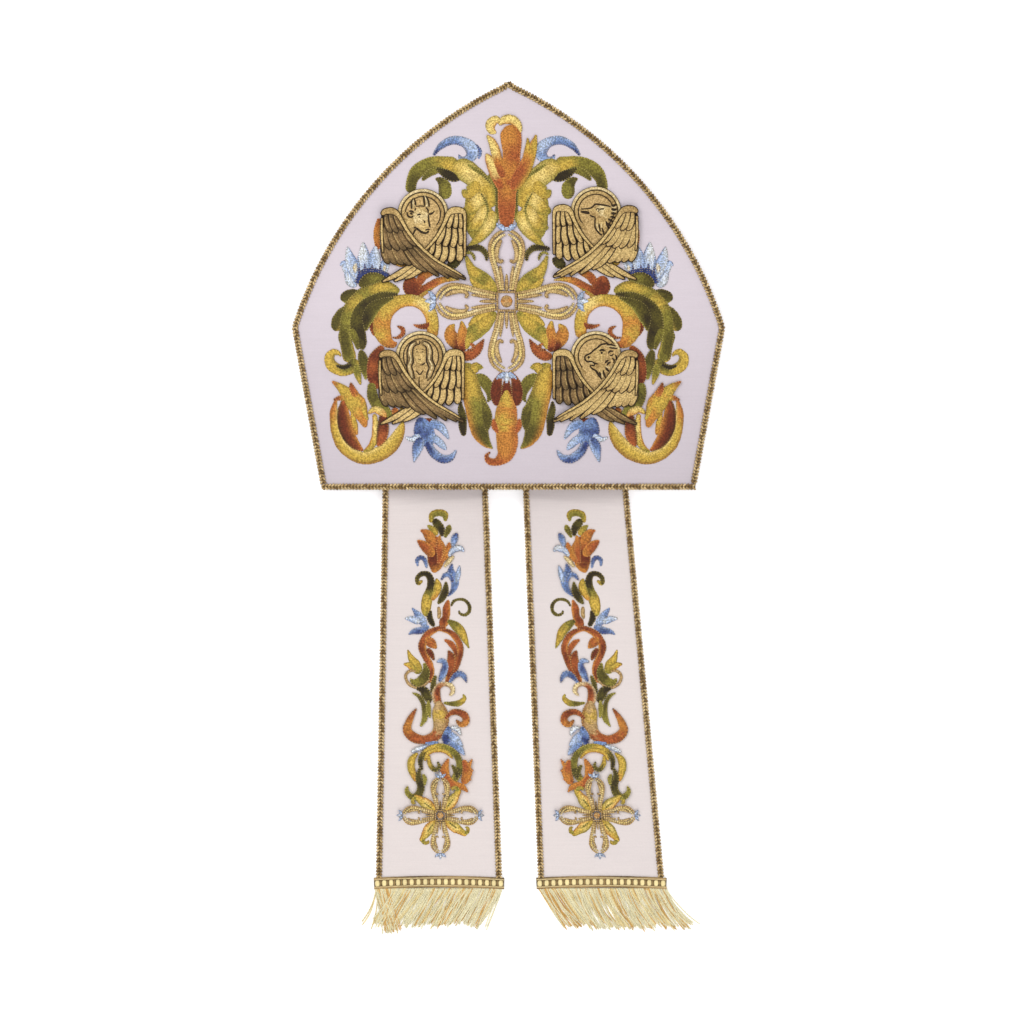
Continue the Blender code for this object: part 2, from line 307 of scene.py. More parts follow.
def slab(name, heights, half_width, underside, top, columns, material, spot=lambda x, y: (x, y)):
    """A closed sheet between two surfaces, with rows at the given heights. spot() places each point."""
    points = []
    for surface in (top, underside):
        for height in heights:
            width = half_width(height)
            for k in range(columns + 1):
                x = width * (2 * k / columns - 1)
                points.append((*spot(x, height), surface(x, height)))
    step = columns + 1
    layer = len(heights) * step
    faces = []
    for row in range(len(heights) - 1):
        for k in range(columns):
            corner = row * step + k
            quad = (corner, corner + 1, corner + 1 + step, corner + step)
            faces.append(quad)
            faces.append(tuple(c + layer for c in reversed(quad)))
    rim = [row * step for row in range(len(heights))]
    around = rim + [rim[-1] + k for k in range(1, step)] + [r + columns for r in reversed(rim[:-1])]
    around += list(range(columns - 1, 0, -1))
    for first, second in zip(around, around[1:] + around[:1]):
        faces.append((first, second, second + layer, first + layer))
    piece = piece_from(name, points, faces, [material])
    tidy_mesh(piece)
    piece.data.set_sharp_from_angle(angle=math.radians(SLAB_SHARP_DEG))
    return piece


def ribbed_silk(name, light, dark, rib_pitch=RIB_PITCH, painted_rim_shade=0.0):
    """Fine cloth with ribs across it, a little uneven in tone, with painted shade that darkens it towards the
    rim by painted_rim_shade.
    """
    silk = Finish(name)
    where = silk.place()
    height = silk.node("ShaderNodeSeparateXYZ", {}, {0: where}, "Y")
    drift = silk.speckle(where, SILK_DRIFT_SCALE, 3.0)
    rib = silk.maths("SINE", height * (math.tau / (rib_pitch * MM)) + drift * RIB_DRIFT)
    broad = silk.speckle(where, SILK_BROAD_SCALE, 4.0)
    slub = silk.speckle(where, SILK_SLUB_SCALE)
    tone = silk.blend(broad, light, dark)
    across = silk.node("ShaderNodeMapping", {}, {"Vector": where, "Scale": SILK_STREAK_SCALE})
    streaks = silk.speckle(across, 1.0, 3.0)
    # Painted shade, darkest at the rim and gone at the given height above it
    fade = {"Value": height, "From Max": RIM_PAINTED_SHADE_REACH, "To Min": painted_rim_shade, "To Max": 0.0}
    low = silk.node("ShaderNodeMapRange", {}, fade)
    grain = rib * RIB_SHADE + slub * SLUB_SHADE + streaks * STREAK_SHADE + SILK_SHADE - low
    relief = silk.relief(rib * 0.5 + slub * 0.9, SILK_RELIEF * MM, 0.55)
    return silk.wear(
        Base_Color=silk.shade(grain, tone), Roughness=0.62 + slub * 0.12, Normal=relief,
        Sheen_Weight=0.25, Sheen_Roughness=0.5, Specular_IOR_Level=0.35,
    )


crown_silk = ribbed_silk("crown_silk", paint(219, 208, 215), paint(209, 198, 206), painted_rim_shade=RIM_PAINTED_SHADE)
board_heights = [SHOULDER_HEIGHT * k / ROWS_TO_SHOULDER for k in range(ROWS_TO_SHOULDER)]
above_shoulder = CROWN_HEIGHT - SHOULDER_HEIGHT
board_heights += [
    SHOULDER_HEIGHT + above_shoulder * k / ROWS_ABOVE_SHOULDER for k in range(ROWS_ABOVE_SHOULDER + 1)
]
front_board = slab(
    "front_board", board_heights, crown_half_width, front_underside, front_top, BOARD_COLUMNS, crown_silk
)
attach(front_board, "root")
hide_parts("front_panel")

back_board = slab(
    "back_board", board_heights, crown_half_width, lambda x, y: BRAID_THICKNESS + FIT,
    lambda x, y: BACK_TOP + BACK_RIPPLE_SHARE * ripple(x, y), BOARD_COLUMNS, crown_silk,
)
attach(back_board, "root")
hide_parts("back_panel")

# Gusset
# A soft panel of the same silk, sewn along both upper edges and folded in between the two points, with its
# crease just above the head.
GUSSET_THICKNESS = 1.0
GUSSET_FOLD = 1.1
GUSSET_REACH = 0.92
GUSSET_INSET = 1.2
GUSSET_COLUMNS = 90
GUSSET_LEAF_STEPS = 14
GUSSET_PUCKER = 0.16
GUSSET_PUCKER_PITCH = 9.0
GUSSET_SHARP_DEG = 50


def edge_height_at(x):
    return edge_centre.y + math.sqrt(edge_radius**2 - (abs(x) - edge_centre.x) ** 2)


def gusset_line(x):
    """The middle of the folded cloth at one place across the crown, as (y, z), from seam to seam."""
    half_cloth = GUSSET_THICKNESS / 2
    seam = edge_height_at(x) - GUSSET_INSET
    room_middle = BACK_TOP + (front_underside(x, SHOULDER_HEIGHT) - BACK_TOP) / 2
    fold = GUSSET_FOLD / 2 + half_cloth
    front_seam = front_underside(x, seam) - FIT - half_cloth
    back_seam = BACK_TOP + FIT + half_cloth
    shares = [k / GUSSET_LEAF_STEPS for k in range(GUSSET_LEAF_STEPS)]
    line = []
    for share in shares:
        pucker = GUSSET_PUCKER * math.sin(math.tau * x / GUSSET_PUCKER_PITCH) * math.sin(math.pi * share)
        y = seam + (SHOULDER_HEIGHT - seam) * share
        line.append((y, front_seam + (room_middle + fold - front_seam) * share + pucker))
    for degrees in range(90, -91, -30):
        turn = math.radians(degrees)
        line.append((SHOULDER_HEIGHT - fold * math.cos(turn), room_middle + fold * math.sin(turn)))
    for share in reversed(shares):
        y = seam + (SHOULDER_HEIGHT - seam) * share
        line.append((y, back_seam + (room_middle - fold - back_seam) * share))
    return line


def gusset_section(x):
    """The cloth's outline there: the middle line moved half its thickness to each side."""
    line = [Vector(point) for point in gusset_line(x)]
    outer, inner = [], []
    for k, point in enumerate(line):
        along = (line[min(k + 1, len(line) - 1)] - line[max(k - 1, 0)]).normalized()
        across = Vector((-along.y, along.x)) * GUSSET_THICKNESS / 2
        outer.append(point - across)
        inner.append(point + across)
    return outer + inner[::-1]


gusset_half_width = SHOULDER_WIDTH / 2 * GUSSET_REACH
gusset_stations = [gusset_half_width * (2 * k / GUSSET_COLUMNS - 1) for k in range(GUSSET_COLUMNS + 1)]
gusset_sections = [gusset_section(x) for x in gusset_stations]
corners = len(gusset_sections[0])
gusset_points = [(x, p.x, p.y) for x, section in zip(gusset_stations, gusset_sections) for p in section]
gusset_faces = []
for station in range(GUSSET_COLUMNS):
    for k in range(corners):
        a, b = station * corners + k, station * corners + (k + 1) % corners
        gusset_faces.append((a, b, b + corners, a + corners))
half_ring = corners // 2
for first in (0, GUSSET_COLUMNS * corners):
    for k in range(half_ring - 1):
        gusset_faces.append((first + k, first + k + 1, first + corners - 2 - k, first + corners - 1 - k))
gusset = piece_from("gusset_cloth", gusset_points, gusset_faces, [crown_silk])
tidy_mesh(gusset)
gusset.data.set_sharp_from_angle(angle=math.radians(GUSSET_SHARP_DEG))
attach(gusset, "root")
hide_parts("gusset")

# Front embroidery
# Leaves, scrolls and lilies in silk satin stitch, each worked as a raised strip of thread that changes colour
# along its length and is darker at its edges, with an edge thread or with painted shade. The left half is
# drawn, and the right half mirrors it.
THREAD_COLOURS = {
    "r": (166, 88, 44), "R": (108, 46, 22), "o": (198, 132, 58), "y": (204, 172, 74), "Y": (238, 212, 132),
    "g": (134, 126, 50), "G": (86, 78, 26), "k": (48, 38, 14), "b": (118, 144, 198), "B": (50, 62, 118),
    "l": (178, 196, 232), "w": (222, 228, 240), "s": (226, 206, 160), "t": (190, 158, 110),
    "p": (212, 184, 126), "n": (182, 152, 100), "h": (200, 170, 118), "m": (98, 80, 50), "d": (52, 38, 20),
    "u": (188, 160, 114), "v": (220, 194, 148), "x": (148, 120, 80),
    "F": (255, 250, 218), "f": (255, 238, 184), "c": (236, 194, 122),
}
THREADS = {letter: paint(*screen) for letter, screen in THREAD_COLOURS.items()}
STITCH_COLUMNS = (-1.0, -0.9, -0.7, -0.36, 0.0, 0.36, 0.7, 0.9, 1.0)
STITCH_RISE = (0.35, 0.74, 0.94, 1.0, 1.0, 1.0, 0.94, 0.74, 0.35)
STRIP_PROBES = (-0.7, 0.0, 0.7)
THINNEST = 0.12
THINNEST_TIP = 0.08
THINNEST_RAGGED = 0.06
LEAST_RISE = 0.22
RISE_FOR_WIDTH = 0.03
MOST_RISE = 0.42
FULL_RISE_WIDTH = 0.8
LAYER_RISE = 0.12
LAYER_CELL = 2.0
CLOTH_SINK = 0.25
CENTRE_LINE = -1.5
# How one thread colour reaches into the next, and how a strip darkens towards its edges, into a named edge
# thread or into painted shade of its own colour
FINGER_LENGTH = 2.5
FINGER_SHARE = 0.2
FINGER_STEPS = 4
COLOUR_JITTER = 0.03
GLINT = 0.12
EDGE_START = 0.25
EDGE_PAINTED_SHADE = 0.62
SHADED_PULL = 0.8
# Painted shade on the sides of each strip, where it sinks into the cloth
SIDE_PAINTED_SHADE = 0.5
# Millimetres in one unit of the map that says how the thread lies
STITCH_SPAN = 100.0


def flowing(points, step):
    """Points about a step apart on a smooth line through the given ones."""
    ends = [points[0], *points, points[-1]]
    line = []
    for before, start, end, after in zip(ends, ends[1:], ends[2:], ends[3:]):
        parts = max(2, round(math.dist(start[:2], end[:2]) / step))
        for k in range(parts):
            t = k / parts
            spot = []
            for p, q, r, s in zip(before, start, end, after):
                curve = (2 * p - 5 * q + 4 * r - s) * t**2 + (3 * q - p - 3 * r + s) * t**3
                spot.append(0.5 * (2 * q + (r - p) * t + curve))
            line.append(spot)
    line.append(list(points[-1]))
    return line


def colour_at(letters, share):
    """The thread colour at a share of the way along a strip."""
    place = min(max(share, 0.0), 1.0) * (len(letters) - 1)
    first = min(int(place), len(letters) - 1)
    second = min(first + 1, len(letters) - 1)
    start, end = THREADS[letters[first]], THREADS[letters[second]]
    return [a + (b - a) * (place - first) for a, b in zip(start[:3], end[:3])]


class Needlework:
    """Gathers closed strips of stitching, and turns them into one mesh with thread colours."""

    def __init__(self, ground, place=lambda x, y: (x, y), seed=1, step=1.2):
        self.ground = ground
        self.place = place
        self.step = step
        self.draw = random.Random(seed)
        self.points, self.faces, self.colours, self.stitches = [], [], [], []
        self.levels = {}

    def layer_over(self, spots):
        """The next free layer above what is already sewn at these places."""
        cells = {(round(x / LAYER_CELL), round(y / LAYER_CELL)) for x, y in spots}
        layer = 1 + max(self.levels.get(cell, 0) for cell in cells)
        for cell in cells:
            self.levels[cell] = layer
        return layer

    def close_rings(self, first, rings, sides):
        """Faces between rings of points that follow each other, and across both ends."""
        for ring in range(rings - 1):
            for k in range(sides):
                a, b = first + ring * sides + k, first + ring * sides + (k + 1) % sides
                self.faces.append((a, b, b + sides, a + sides))
        last = first + (rings - 1) * sides
        self.faces.append(tuple(first + k for k in reversed(range(sides))))
        self.faces.append(tuple(last + k for k in range(sides)))

    def strip(
        self, points, along, left="-", right="-", rise=None, layer=None, ragged=0.18, edge=0.85, blunt=False
    ):
        """One strip of thread: along names its colours from start to end, left and right its edges'."""
        line = flowing(points, self.step)
        line = [(*self.place(x, y), max(width, THINNEST)) for x, y, width in line]
        lengths = [0.0]
        for a, b in zip(line, line[1:]):
            lengths.append(lengths[-1] + math.dist(a[:2], b[:2]))
        total = lengths[-1]
        directions = []
        for k in range(len(line)):
            a, b = line[max(k - 1, 0)], line[min(k + 1, len(line) - 1)]
            directions.append((Vector(b[:2]) - Vector(a[:2])).normalized())
        widest = max(width for _, _, width in line)
        if rise is None:
            rise = min(LEAST_RISE + RISE_FOR_WIDTH * widest, MOST_RISE)
        if layer is None:
            spots = [
                (x + share * width * -d.y, y + share * width * d.x)
                for (x, y, width), d in zip(line, directions) for share in STRIP_PROBES
            ]
            layer = self.layer_over(spots)
        first = len(self.points)
        fingers = [self.draw.uniform(-1, 1) for _ in STITCH_COLUMNS]
        reach = min(FINGER_LENGTH / total, FINGER_SHARE)
        for k, ((x, y, width), d, run) in enumerate(zip(line, directions, lengths)):
            nearest = min(run, total - run)
            if nearest < width and not blunt:
                roundness = math.sqrt(max(1 - (1 - nearest / width) ** 2, 0.0))
                width = max(width * roundness, THINNEST_TIP)
            width_here = max(width + self.draw.uniform(-ragged, ragged) * min(width, 1.0), THINNEST_RAGGED)
            for column, share in enumerate(STITCH_COLUMNS):
                px, py = x - d.y * share * width_here, y + d.x * share * width_here
                lift = layer * LAYER_RISE + STITCH_RISE[column] * rise * min(1.0, width / FULL_RISE_WIDTH)
                self.points.append((px, py, self.ground(px, py) + lift))
                jitter = self.draw.uniform(-COLOUR_JITTER, COLOUR_JITTER)
                colour = colour_at(along, run / total + fingers[column] * reach + jitter)
                if k % FINGER_STEPS == 0:
                    fingers[column] = self.draw.uniform(-1, 1)
                edge_letter = left if share > 0 else right
                # A dash darkens the strip's edge with painted shade, and a letter names a real edge thread
                if edge_letter == "-":
                    side = [EDGE_PAINTED_SHADE * c for c in colour]
                    pull = edge * SHADED_PULL
                else:
                    side = THREADS[edge_letter]
                    pull = edge
                mix = pull * max(0.0, (abs(share) - EDGE_START) / (1 - EDGE_START))
                glint = 1 + self.draw.uniform(-GLINT, GLINT)
                self.colours.append([(c + (s - c) * mix) * glint for c, s in zip(colour, side)])
                self.stitches.append((run / STITCH_SPAN, (1 - abs(share)) * width_here / STITCH_SPAN))
            # The sides, down into the cloth, are painted in shade
            for share in (1.0, -1.0):
                px, py = x - d.y * share * width_here, y + d.x * share * width_here
                self.points.append((px, py, self.ground(px, py) - CLOTH_SINK))
                self.colours.append([SIDE_PAINTED_SHADE * c for c in self.colours[-1]])
                self.stitches.append((run / STITCH_SPAN, 0.0))
        self.close_rings(first, len(line), len(STITCH_COLUMNS) + 2)
        return layer

    def sew(self, name, material):
        """The finished piece, with its thread colours and the direction of its stitches."""
        piece = piece_from(name, self.points, self.faces, [material])
        tint = piece.data.color_attributes.new("thread", "FLOAT_COLOR", "POINT")
        opaque = [(*[max(share, 0.0) for share in colour[:3]], 1.0) for colour in self.colours]
        tint.data.foreach_set("color", [share for colour in opaque for share in colour])
        stitch = piece.data.uv_layers.new(name="stitch")
        lies = [self.stitches[loop.vertex_index] for loop in piece.data.loops]
        stitch.data.foreach_set("uv", [share for lie in lies for share in lie])
        shape = bmesh.new()
        shape.from_mesh(piece.data)
        bmesh.ops.recalc_face_normals(shape, faces=shape.faces)
        shape.to_mesh(piece.data)
        shape.free()
        return piece


GRAIN_SIZE = 1.15
THREAD_LAY_SCALE = (90.0, 420.0, 1.0)
GRAIN_CONTRAST = 5.2
LAY_CONTRAST = 2.2
SHADED_THREAD = (0.58, 0.53, 0.42, 1.0)
LIT_THREAD = (1.22, 1.20, 1.14, 1.0)
DOT_PITCH = 1.8
DOT_BAND = 1.0
DOT_BAND_SHARPNESS = 4.0
PALE_FROM = 0.2
PALE_SHARPNESS = 9.0
BRIGHT_DOT = (2.2, 2.2, 2.0, 1.0)
DULL_DOT = (0.30, 0.25, 0.22, 1.0)


def thread_finish(name, metallic, roughness, stitch_depth, glitter, dots=0.0):
    """Thread laid side by side. Its colour comes from the mesh, broken up into lit and shaded stitches. A row
    of small edge stitches can follow the outline, pale on dark thread and dark on pale thread."""
    thread = Finish(name)
    tint = thread.node("ShaderNodeVertexColor", {"layer_name": "thread"}, {})
    lay = thread.node("ShaderNodeUVMap", {"uv_map": "stitch"}, {})
    along = thread.node("ShaderNodeMapping", {}, {"Vector": lay, "Scale": THREAD_LAY_SCALE})
    lines = thread.speckle(along, 1.0)
    grain = thread.speckle(thread.place(), 1.0 / (GRAIN_SIZE * MM), 1.5)
    contrast = (grain - 0.5) * (GRAIN_CONTRAST * glitter) + (lines - 0.5) * (LAY_CONTRAST * glitter) + 0.5
    shaded = thread.blend(1.0, tint, SHADED_THREAD, "MULTIPLY")
    lit = thread.blend(1.0, tint, LIT_THREAD, "MULTIPLY")
    colour = thread.blend(contrast, shaded, lit)
    if dots:
        run = thread.node("ShaderNodeSeparateXYZ", {}, {0: lay}, "X") * STITCH_SPAN
        inside = thread.node("ShaderNodeSeparateXYZ", {}, {0: lay}, "Y") * STITCH_SPAN
        band = thread.maths("MAXIMUM", (DOT_BAND - inside) * DOT_BAND_SHARPNESS, 0.0, clamp=True)
        beat = thread.maths("SINE", run * (math.tau / DOT_PITCH))
        dotted = thread.maths("MULTIPLY", band, beat * dots, clamp=True)
        value = thread.node("ShaderNodeRGBToBW", {}, {0: tint})
        pale = thread.maths("MULTIPLY", value - PALE_FROM, PALE_SHARPNESS, clamp=True)
        bright = thread.blend(1.0, tint, BRIGHT_DOT, "MULTIPLY")
        light_dot = thread.blend(0.4, bright, paint(232, 206, 128))
        dark_dot = thread.blend(1.0, tint, DULL_DOT, "MULTIPLY")
        colour = thread.blend(dotted, colour, thread.blend(pale, light_dot, dark_dot))
    relief = thread.relief(lines + grain * 0.8, stitch_depth * MM, 0.8)
    return thread.wear(
        Base_Color=colour, Roughness=roughness + lines * 0.2, Metallic=metallic,
        Normal=relief, Specular_IOR_Level=0.25,
    )


silk_thread = thread_finish("silk_thread", 0.0, 0.5, 0.16, 0.8, 0.9)
cross_cord = thread_finish("cross_cord", 0.1, 0.45, 0.16, 0.8, 1.0)

# Each row is the colours along the strip, the colours of its left and right edges, and its points as x, y and
# half width. A dash is painted shade: the strip's own colour, darkened.
MIRRORED_STRIPS = (
    # Blue curl at the top
    ("BBbbbllblB", "l", "B", ((-60, 266, 1), (-54, 273.5, 2.6), (-45, 278, 3.4), (-36, 276.8, 4),
        (-30, 272, 5), (-29.2, 266.5, 4.8), (-33.5, 262.8, 3), (-38, 263.6, 1.8), (-39.8, 267, .6))),
    ("Bb", "-", "B", ((-26, 275, .6), (-22.5, 269, 1.5), (-24, 263, .8))),
    # Olive arch that falls into the gold leaf
    ("GGggyy", "g", "G", ((-78.5, 236, 4), (-77, 246, 4.5), (-73, 253, 5.5), (-66, 258.5, 5), (-57, 260.5, 5),
        (-48, 257.5, 8), (-40, 255, 9))),
    ("Ggg", "-", "G", ((-69, 246, 1), (-63, 252, 3), (-55, 255, 3), (-49, 252, 1.5), (-46, 247, .6))),
    ("GkkG", "-", "-", ((-58, 256, 1.2), (-50, 251.5, 3.6), (-42, 248.5, 3.6), (-34, 251.5, .8))),
    ("yyyg", "g", "g", ((-24, 240, 5), (-26, 230, 8.4), (-25, 218, 9.6), (-24, 207, 9.4), (-25, 197, 5))),
    ("yYyy", "g", "g", ((-45, 257, 5), (-37, 255.5, 8.5), (-29, 250, 8.5), (-21, 243, 7.5), (-16, 234, 6.5),
        (-15, 224, 6))),
    ("gGg", "-", "-", ((-17, 249, 2), (-11.5, 247.5, 3.6), (-8.5, 240, 3), (-8, 230, 2.6), (-9, 218, 2),
        (-12, 207, .8))),
    ("yyyg", "-", "g", ((-25, 246, 4), (-28, 239, 5.5), (-33, 235.5, 4.5), (-37, 238.5, 1.2))),
    ("yYyg", "g", "-", ((-19, 236, 5), (-25, 228, 6), (-31, 223, 5), (-37, 221, 2.2))),
    ("yYyg", "g", "-", ((-16, 226, 6), (-21, 216, 6), (-27, 210, 5), (-35, 208, 1.6))),
    ("yYyg", "g", "g", ((-13, 222, 5), (-15, 212, 5.5), (-20, 204, 4.5), (-26, 198, 3), (-32, 192.5, .8))),
    ("gG", "-", "-", ((-33, 259, .8), (-27, 255, 1.6), (-20, 250, 1.2), (-14, 243, .6))),
    ("Gg", "-", "-", ((-22, 236, .5), (-17, 226, 1.1), (-17, 216, .9), (-21, 207, .5))),
    # Small curls beside the wings
    ("GGggg", "-", "k", ((-58.5, 247.5, .8), (-54.5, 246, 3), (-51, 241.5, 5), (-50.5, 236, 5.2),
        (-50.5, 231, 4))),
    ("kkGk", "-", "-", ((-36, 191, 1.5), (-28, 192.5, 2.5), (-22, 191.5, 2.5), (-18, 187, 2),
        (-17.5, 181.5, .8))),
    ("gG", "-", "-", ((-35, 187, 1), (-31, 188.5, 1.2), (-28, 186, 1.2), (-27, 182, .8))),
    ("kGk", "-", "-", ((-49, 179, 1.5), (-44, 180, 4.5), (-38, 184, 2))),
    ("yy", "-", "o", ((-92, 181, 1.5), (-86, 180, 3), (-80, 181, 2))),
    ("ror", "-", "-", ((-103, 216, 1.6), (-105.2, 204, 2.6), (-104, 191, 2.2))),
    # Leaf that springs from the cross, above and below its arm
    ("gyygyg", "g", "g", ((-34, 186, 1), (-30, 176, 3.5), (-25, 170, 6), (-19, 165, 6.5), (-14, 161, 5),
        (-9, 157, 2.2))),
    ("GkG", "-", "-", ((-27, 174, .5), (-21, 167.5, 1.6), (-15, 163, 1.5), (-9.5, 158.5, .7))),
    ("yyg", "-", "G", ((-31, 168, .8), (-26, 163, 2.8), (-20, 159.5, 3), (-14, 157.5, 1.5))),
    ("gyygyy", "g", "g", ((-10, 141, 2), (-14, 137, 4.5), (-20, 131, 6.5), (-27, 125, 6.5), (-32, 119, 4.5),
        (-34.5, 111, 1.5))),
    ("GkG", "-", "-", ((-10, 139.5, .7), (-16, 134.5, 1.5), (-22, 129, 1.6), (-29, 121.5, .5))),
    ("yyy", "-", "G", ((-14, 141, 1.5), (-21, 138, 3), (-27, 134.5, 2.6), (-32, 130, .8))),
    # Rust lily to the left of the cross
    ("rRRR", "r", "R", ((-79, 170, 3.5), (-77, 162, 7.5), (-73, 155, 5.8), (-68, 151.5, 1.6))),
    ("rror", "-", "R", ((-72, 163, 3), (-68, 169.5, 3.4), (-61, 172.5, 2.2), (-58, 174.5, .6))),
    ("RrroyY", "R", "o", ((-71, 156, 4.5), (-63, 161.5, 3.4), (-56, 165.5, 2.9), (-48, 167.2, 2),
        (-39, 166.5, .5))),
    ("Ry", "-", "-", ((-76, 150, 1), (-72, 152, 1.8), (-66, 157, 1.2), (-60, 160.5, .6))),
    # Gold scroll with barbs
    ("rRr", "-", "-", ((-104, 137, 1.6), (-107.5, 129, 3.5), (-104, 122, 2.6))),
    ("oyyYYyyyyoyor", "o", "-", ((-61, 120, 4), (-60.5, 130, 5), (-62, 139, 5), (-67, 146, 5),
        (-75, 150, 4.8), (-84, 150, 5), (-92, 147, 6), (-98, 141, 6.5), (-101, 133, 7), (-100.5, 125, 7),
        (-97, 118, 5), (-92, 115.5, 3), (-89, 117, .8))),
    ("rRr", "-", "-", ((-76, 131, .5), (-71, 129.5, 1.7), (-65, 130, 2.3), (-62, 134, 1))),
    ("RrR", "-", "-", ((-89, 130, .5), (-84.5, 127.5, 1.7), (-84.5, 123.5, 1.8), (-89, 120.5, 1.2),
        (-93, 121, .5))),
    # Orange flower below the lily
    ("RRooy", "-", "R", ((-37, 110, 3.5), (-41, 115.5, 5), (-45.5, 121, 5.4), (-46, 127, 3.8),
        (-43, 131.5, .8))),
    ("Rrooy", "-", "-", ((-36, 109, 2.6), (-38, 118, 3.6), (-36.5, 126, 3.6), (-37.5, 134, .8))),
    ("rrrR", "-", "R", ((-38, 105.5, 2.6), (-31, 106.5, 4.2), (-24.5, 111.5, 3.6), (-19.5, 119.5, .5))),
    ("rR", "-", "-", ((-31, 116, .8), (-28, 114, 1.3), (-29, 110.5, 1.2), (-33, 111, .8))),
    # Blue flower at the shoulder
    ("blll", "w", "b", ((-121, 167, 4), (-127.5, 174, 4.2), (-131.5, 180, 2.6), (-134.5, 178, .6))),
    ("bllw", "w", "b", ((-118, 168, 4), (-124, 178, 5), (-127, 186, 3.5), (-128.5, 193.5, .6))),
    ("lwl", "-", "b", ((-121, 162, 1.5), (-126, 165, 3.5), (-129.5, 174.5, 2))),
    ("blww", "w", "b", ((-113.5, 170, 5), (-115, 181, 5), (-115.5, 189, 4), (-116, 197, .6))),
    ("bllw", "b", "w", ((-102, 170, 4), (-99, 178, 4), (-95.5, 185, 2.6))),
    ("bllw", "b", "w", ((-108, 170, 5), (-107, 181, 5), (-106.5, 188, 3.6), (-106, 194, .6))),
    ("bl", "-", "-", ((-118.5, 172, .5), (-119.5, 179, 1.1), (-120, 186, .4))),
    ("bl", "-", "-", ((-111, 172, .5), (-111, 180, 1.1), (-111, 187, .4))),
    ("wsw", "-", "b", ((-122, 172, .8), (-122.3, 176, 2.1), (-121.5, 180.5, .8))),
    ("wsw", "-", "b", ((-98.9, 172.5, .8), (-98.7, 176, 1.8), (-98.4, 179.5, .7))),
    ("BBBBB", "-", "-", ((-121, 163.5, 1.5), (-117, 171, 3.2), (-110, 173.5, 3), (-103, 172, 3),
        (-95, 170.5, 1.6))),
    ("BB", "-", "-", ((-118.5, 170, 1.8), (-119.5, 177, .5))),
    ("BB", "-", "-", ((-114.5, 172, 1.8), (-114.8, 180, .5))),
    ("BB", "-", "-", ((-109, 172, 1.8), (-108.6, 179, .5))),
    ("BB", "-", "-", ((-103, 171, 1.8), (-102, 178.5, .5))),
    # Big leaf that curls down the side
    ("yyGg", "-", "-", ((-126, 101, 6), (-129, 114, 5), (-131, 122, 5), (-131, 128, 3))),
    ("gGGG", "g", "k", ((-117, 156, 3), (-124, 154, 5.8), (-131, 152.4, 5), (-134, 151, 2.5))),
    ("gGGG", "y", "G", ((-124, 146, 3), (-131, 140, 5.6), (-136, 133, 5.6), (-138.5, 126, 3.5))),
    ("gyygyggGGg", "g", "G", ((-87, 157, 2), (-96, 161, 4.5), (-107, 160, 5.4), (-117, 154, 5.8),
        (-125, 146, 5.5), (-129.5, 136, 5), (-130.5, 125, 4.6), (-129, 112, 4.6), (-126, 102, 5))),
    ("GgGG", "G", "k", ((-98, 167.5, 1.2), (-104, 168.5, 4), (-112, 167, 5), (-119, 161.5, 2.6))),
    ("kGkGkG", "k", "G", ((-88, 155.5, 1), (-100, 154, 3.4), (-111.5, 148.5, 5), (-119, 140, 6),
        (-120.5, 128, 6.2), (-117.5, 116.5, 4.6), (-116, 111, 1.4))),
    ("GGGkG", "g", "-", ((-91, 152.5, .8), (-101, 149, 3.6), (-108.5, 143.5, 5.6), (-112.5, 135.5, 5),
        (-114, 126, .8))),
    ("gG", "-", "-", ((-126, 128, 3), (-122, 120, 3.4), (-120, 111, .8))),
    ("gGgyyyyy", "y", "k", ((-122, 104, 4.5), (-125.5, 97, 4.6), (-133, 94.6, 4.4), (-141, 98.5, 4.4),
        (-143, 105, 3.8), (-139.3, 109.2, 2.8), (-135, 107.8, 1.4), (-134, 105.5, .6))),
    ("kkk", "-", "-", ((-124.8, 99.5, 1.6), (-131.6, 96.9, 2.2), (-138.2, 98.8, .8))),
    ("GGg", "-", "-", ((-118, 111, 2), (-116, 103, 4), (-114.5, 95, 3.5), (-114, 87, .6))),
    ("ggy", "-", "-", ((-121.5, 100, 2), (-120.5, 92, 3), (-118, 83, .5))),
    # Leaves that show round the lower left badge
    ("rRrRr", "-", "R", ((-100, 114, 2), (-106, 106, 4.4), (-108.5, 97, 4.8), (-107.5, 88, 4.8),
        (-103, 80, 1.6))),
    ("gGgg", "-", "G", ((-109, 85, 3), (-108.7, 75, 4.2), (-105, 67, 4.2), (-98, 62, 4), (-94, 56, 2))),
    ("roR", "-", "-", ((-91, 65, 3), (-89, 55, 2.6))),
    ("yo", "-", "-", ((-86, 65, 1.6), (-83.5, 61, 2.5), (-80, 60, 1))),
    ("RR", "-", "-", ((-68, 55, 1.5), (-64, 54.5, 2), (-61, 56, 1))),
    # Flame scroll in the lower corner
    ("royyyyyyyy", "Y", "R", ((-137.5, 72, 1), (-139.5, 62, 3), (-139, 52, 3.6), (-137, 43, 4),
        (-133, 34.5, 4.2), (-124.5, 27.5, 4.6), (-113.5, 24.5, 5), (-101, 29, 6), (-92, 36.5, 5.6),
        (-86.5, 46, 4), (-84, 54, .8))),
    ("rRRRr", "o", "k", ((-131, 72, 2), (-132, 62, 4.6), (-131, 52, 6), (-128, 43, 5.6), (-122.5, 35.5, 4),
        (-116, 30.5, 1))),
    ("yyo", "-", "o", ((-125, 62, 1.2), (-123, 52, 2.4), (-121, 43, 1.2))),
    ("yYyg", "-", "o", ((-107, 60, 1.6), (-106, 50, 2.6), (-106.5, 41, 3), (-110, 33.5, 2.4),
        (-116, 29.5, 1))),
    ("RRrr", "-", "k", ((-100, 60, 3), (-100, 51, 4.4), (-101, 42, 4.4), (-104.5, 34, 1.6))),
    ("yYo", "-", "o", ((-112, 60, 1), (-107, 63.5, 2.6), (-101, 61, 3), (-97, 57, .8))),
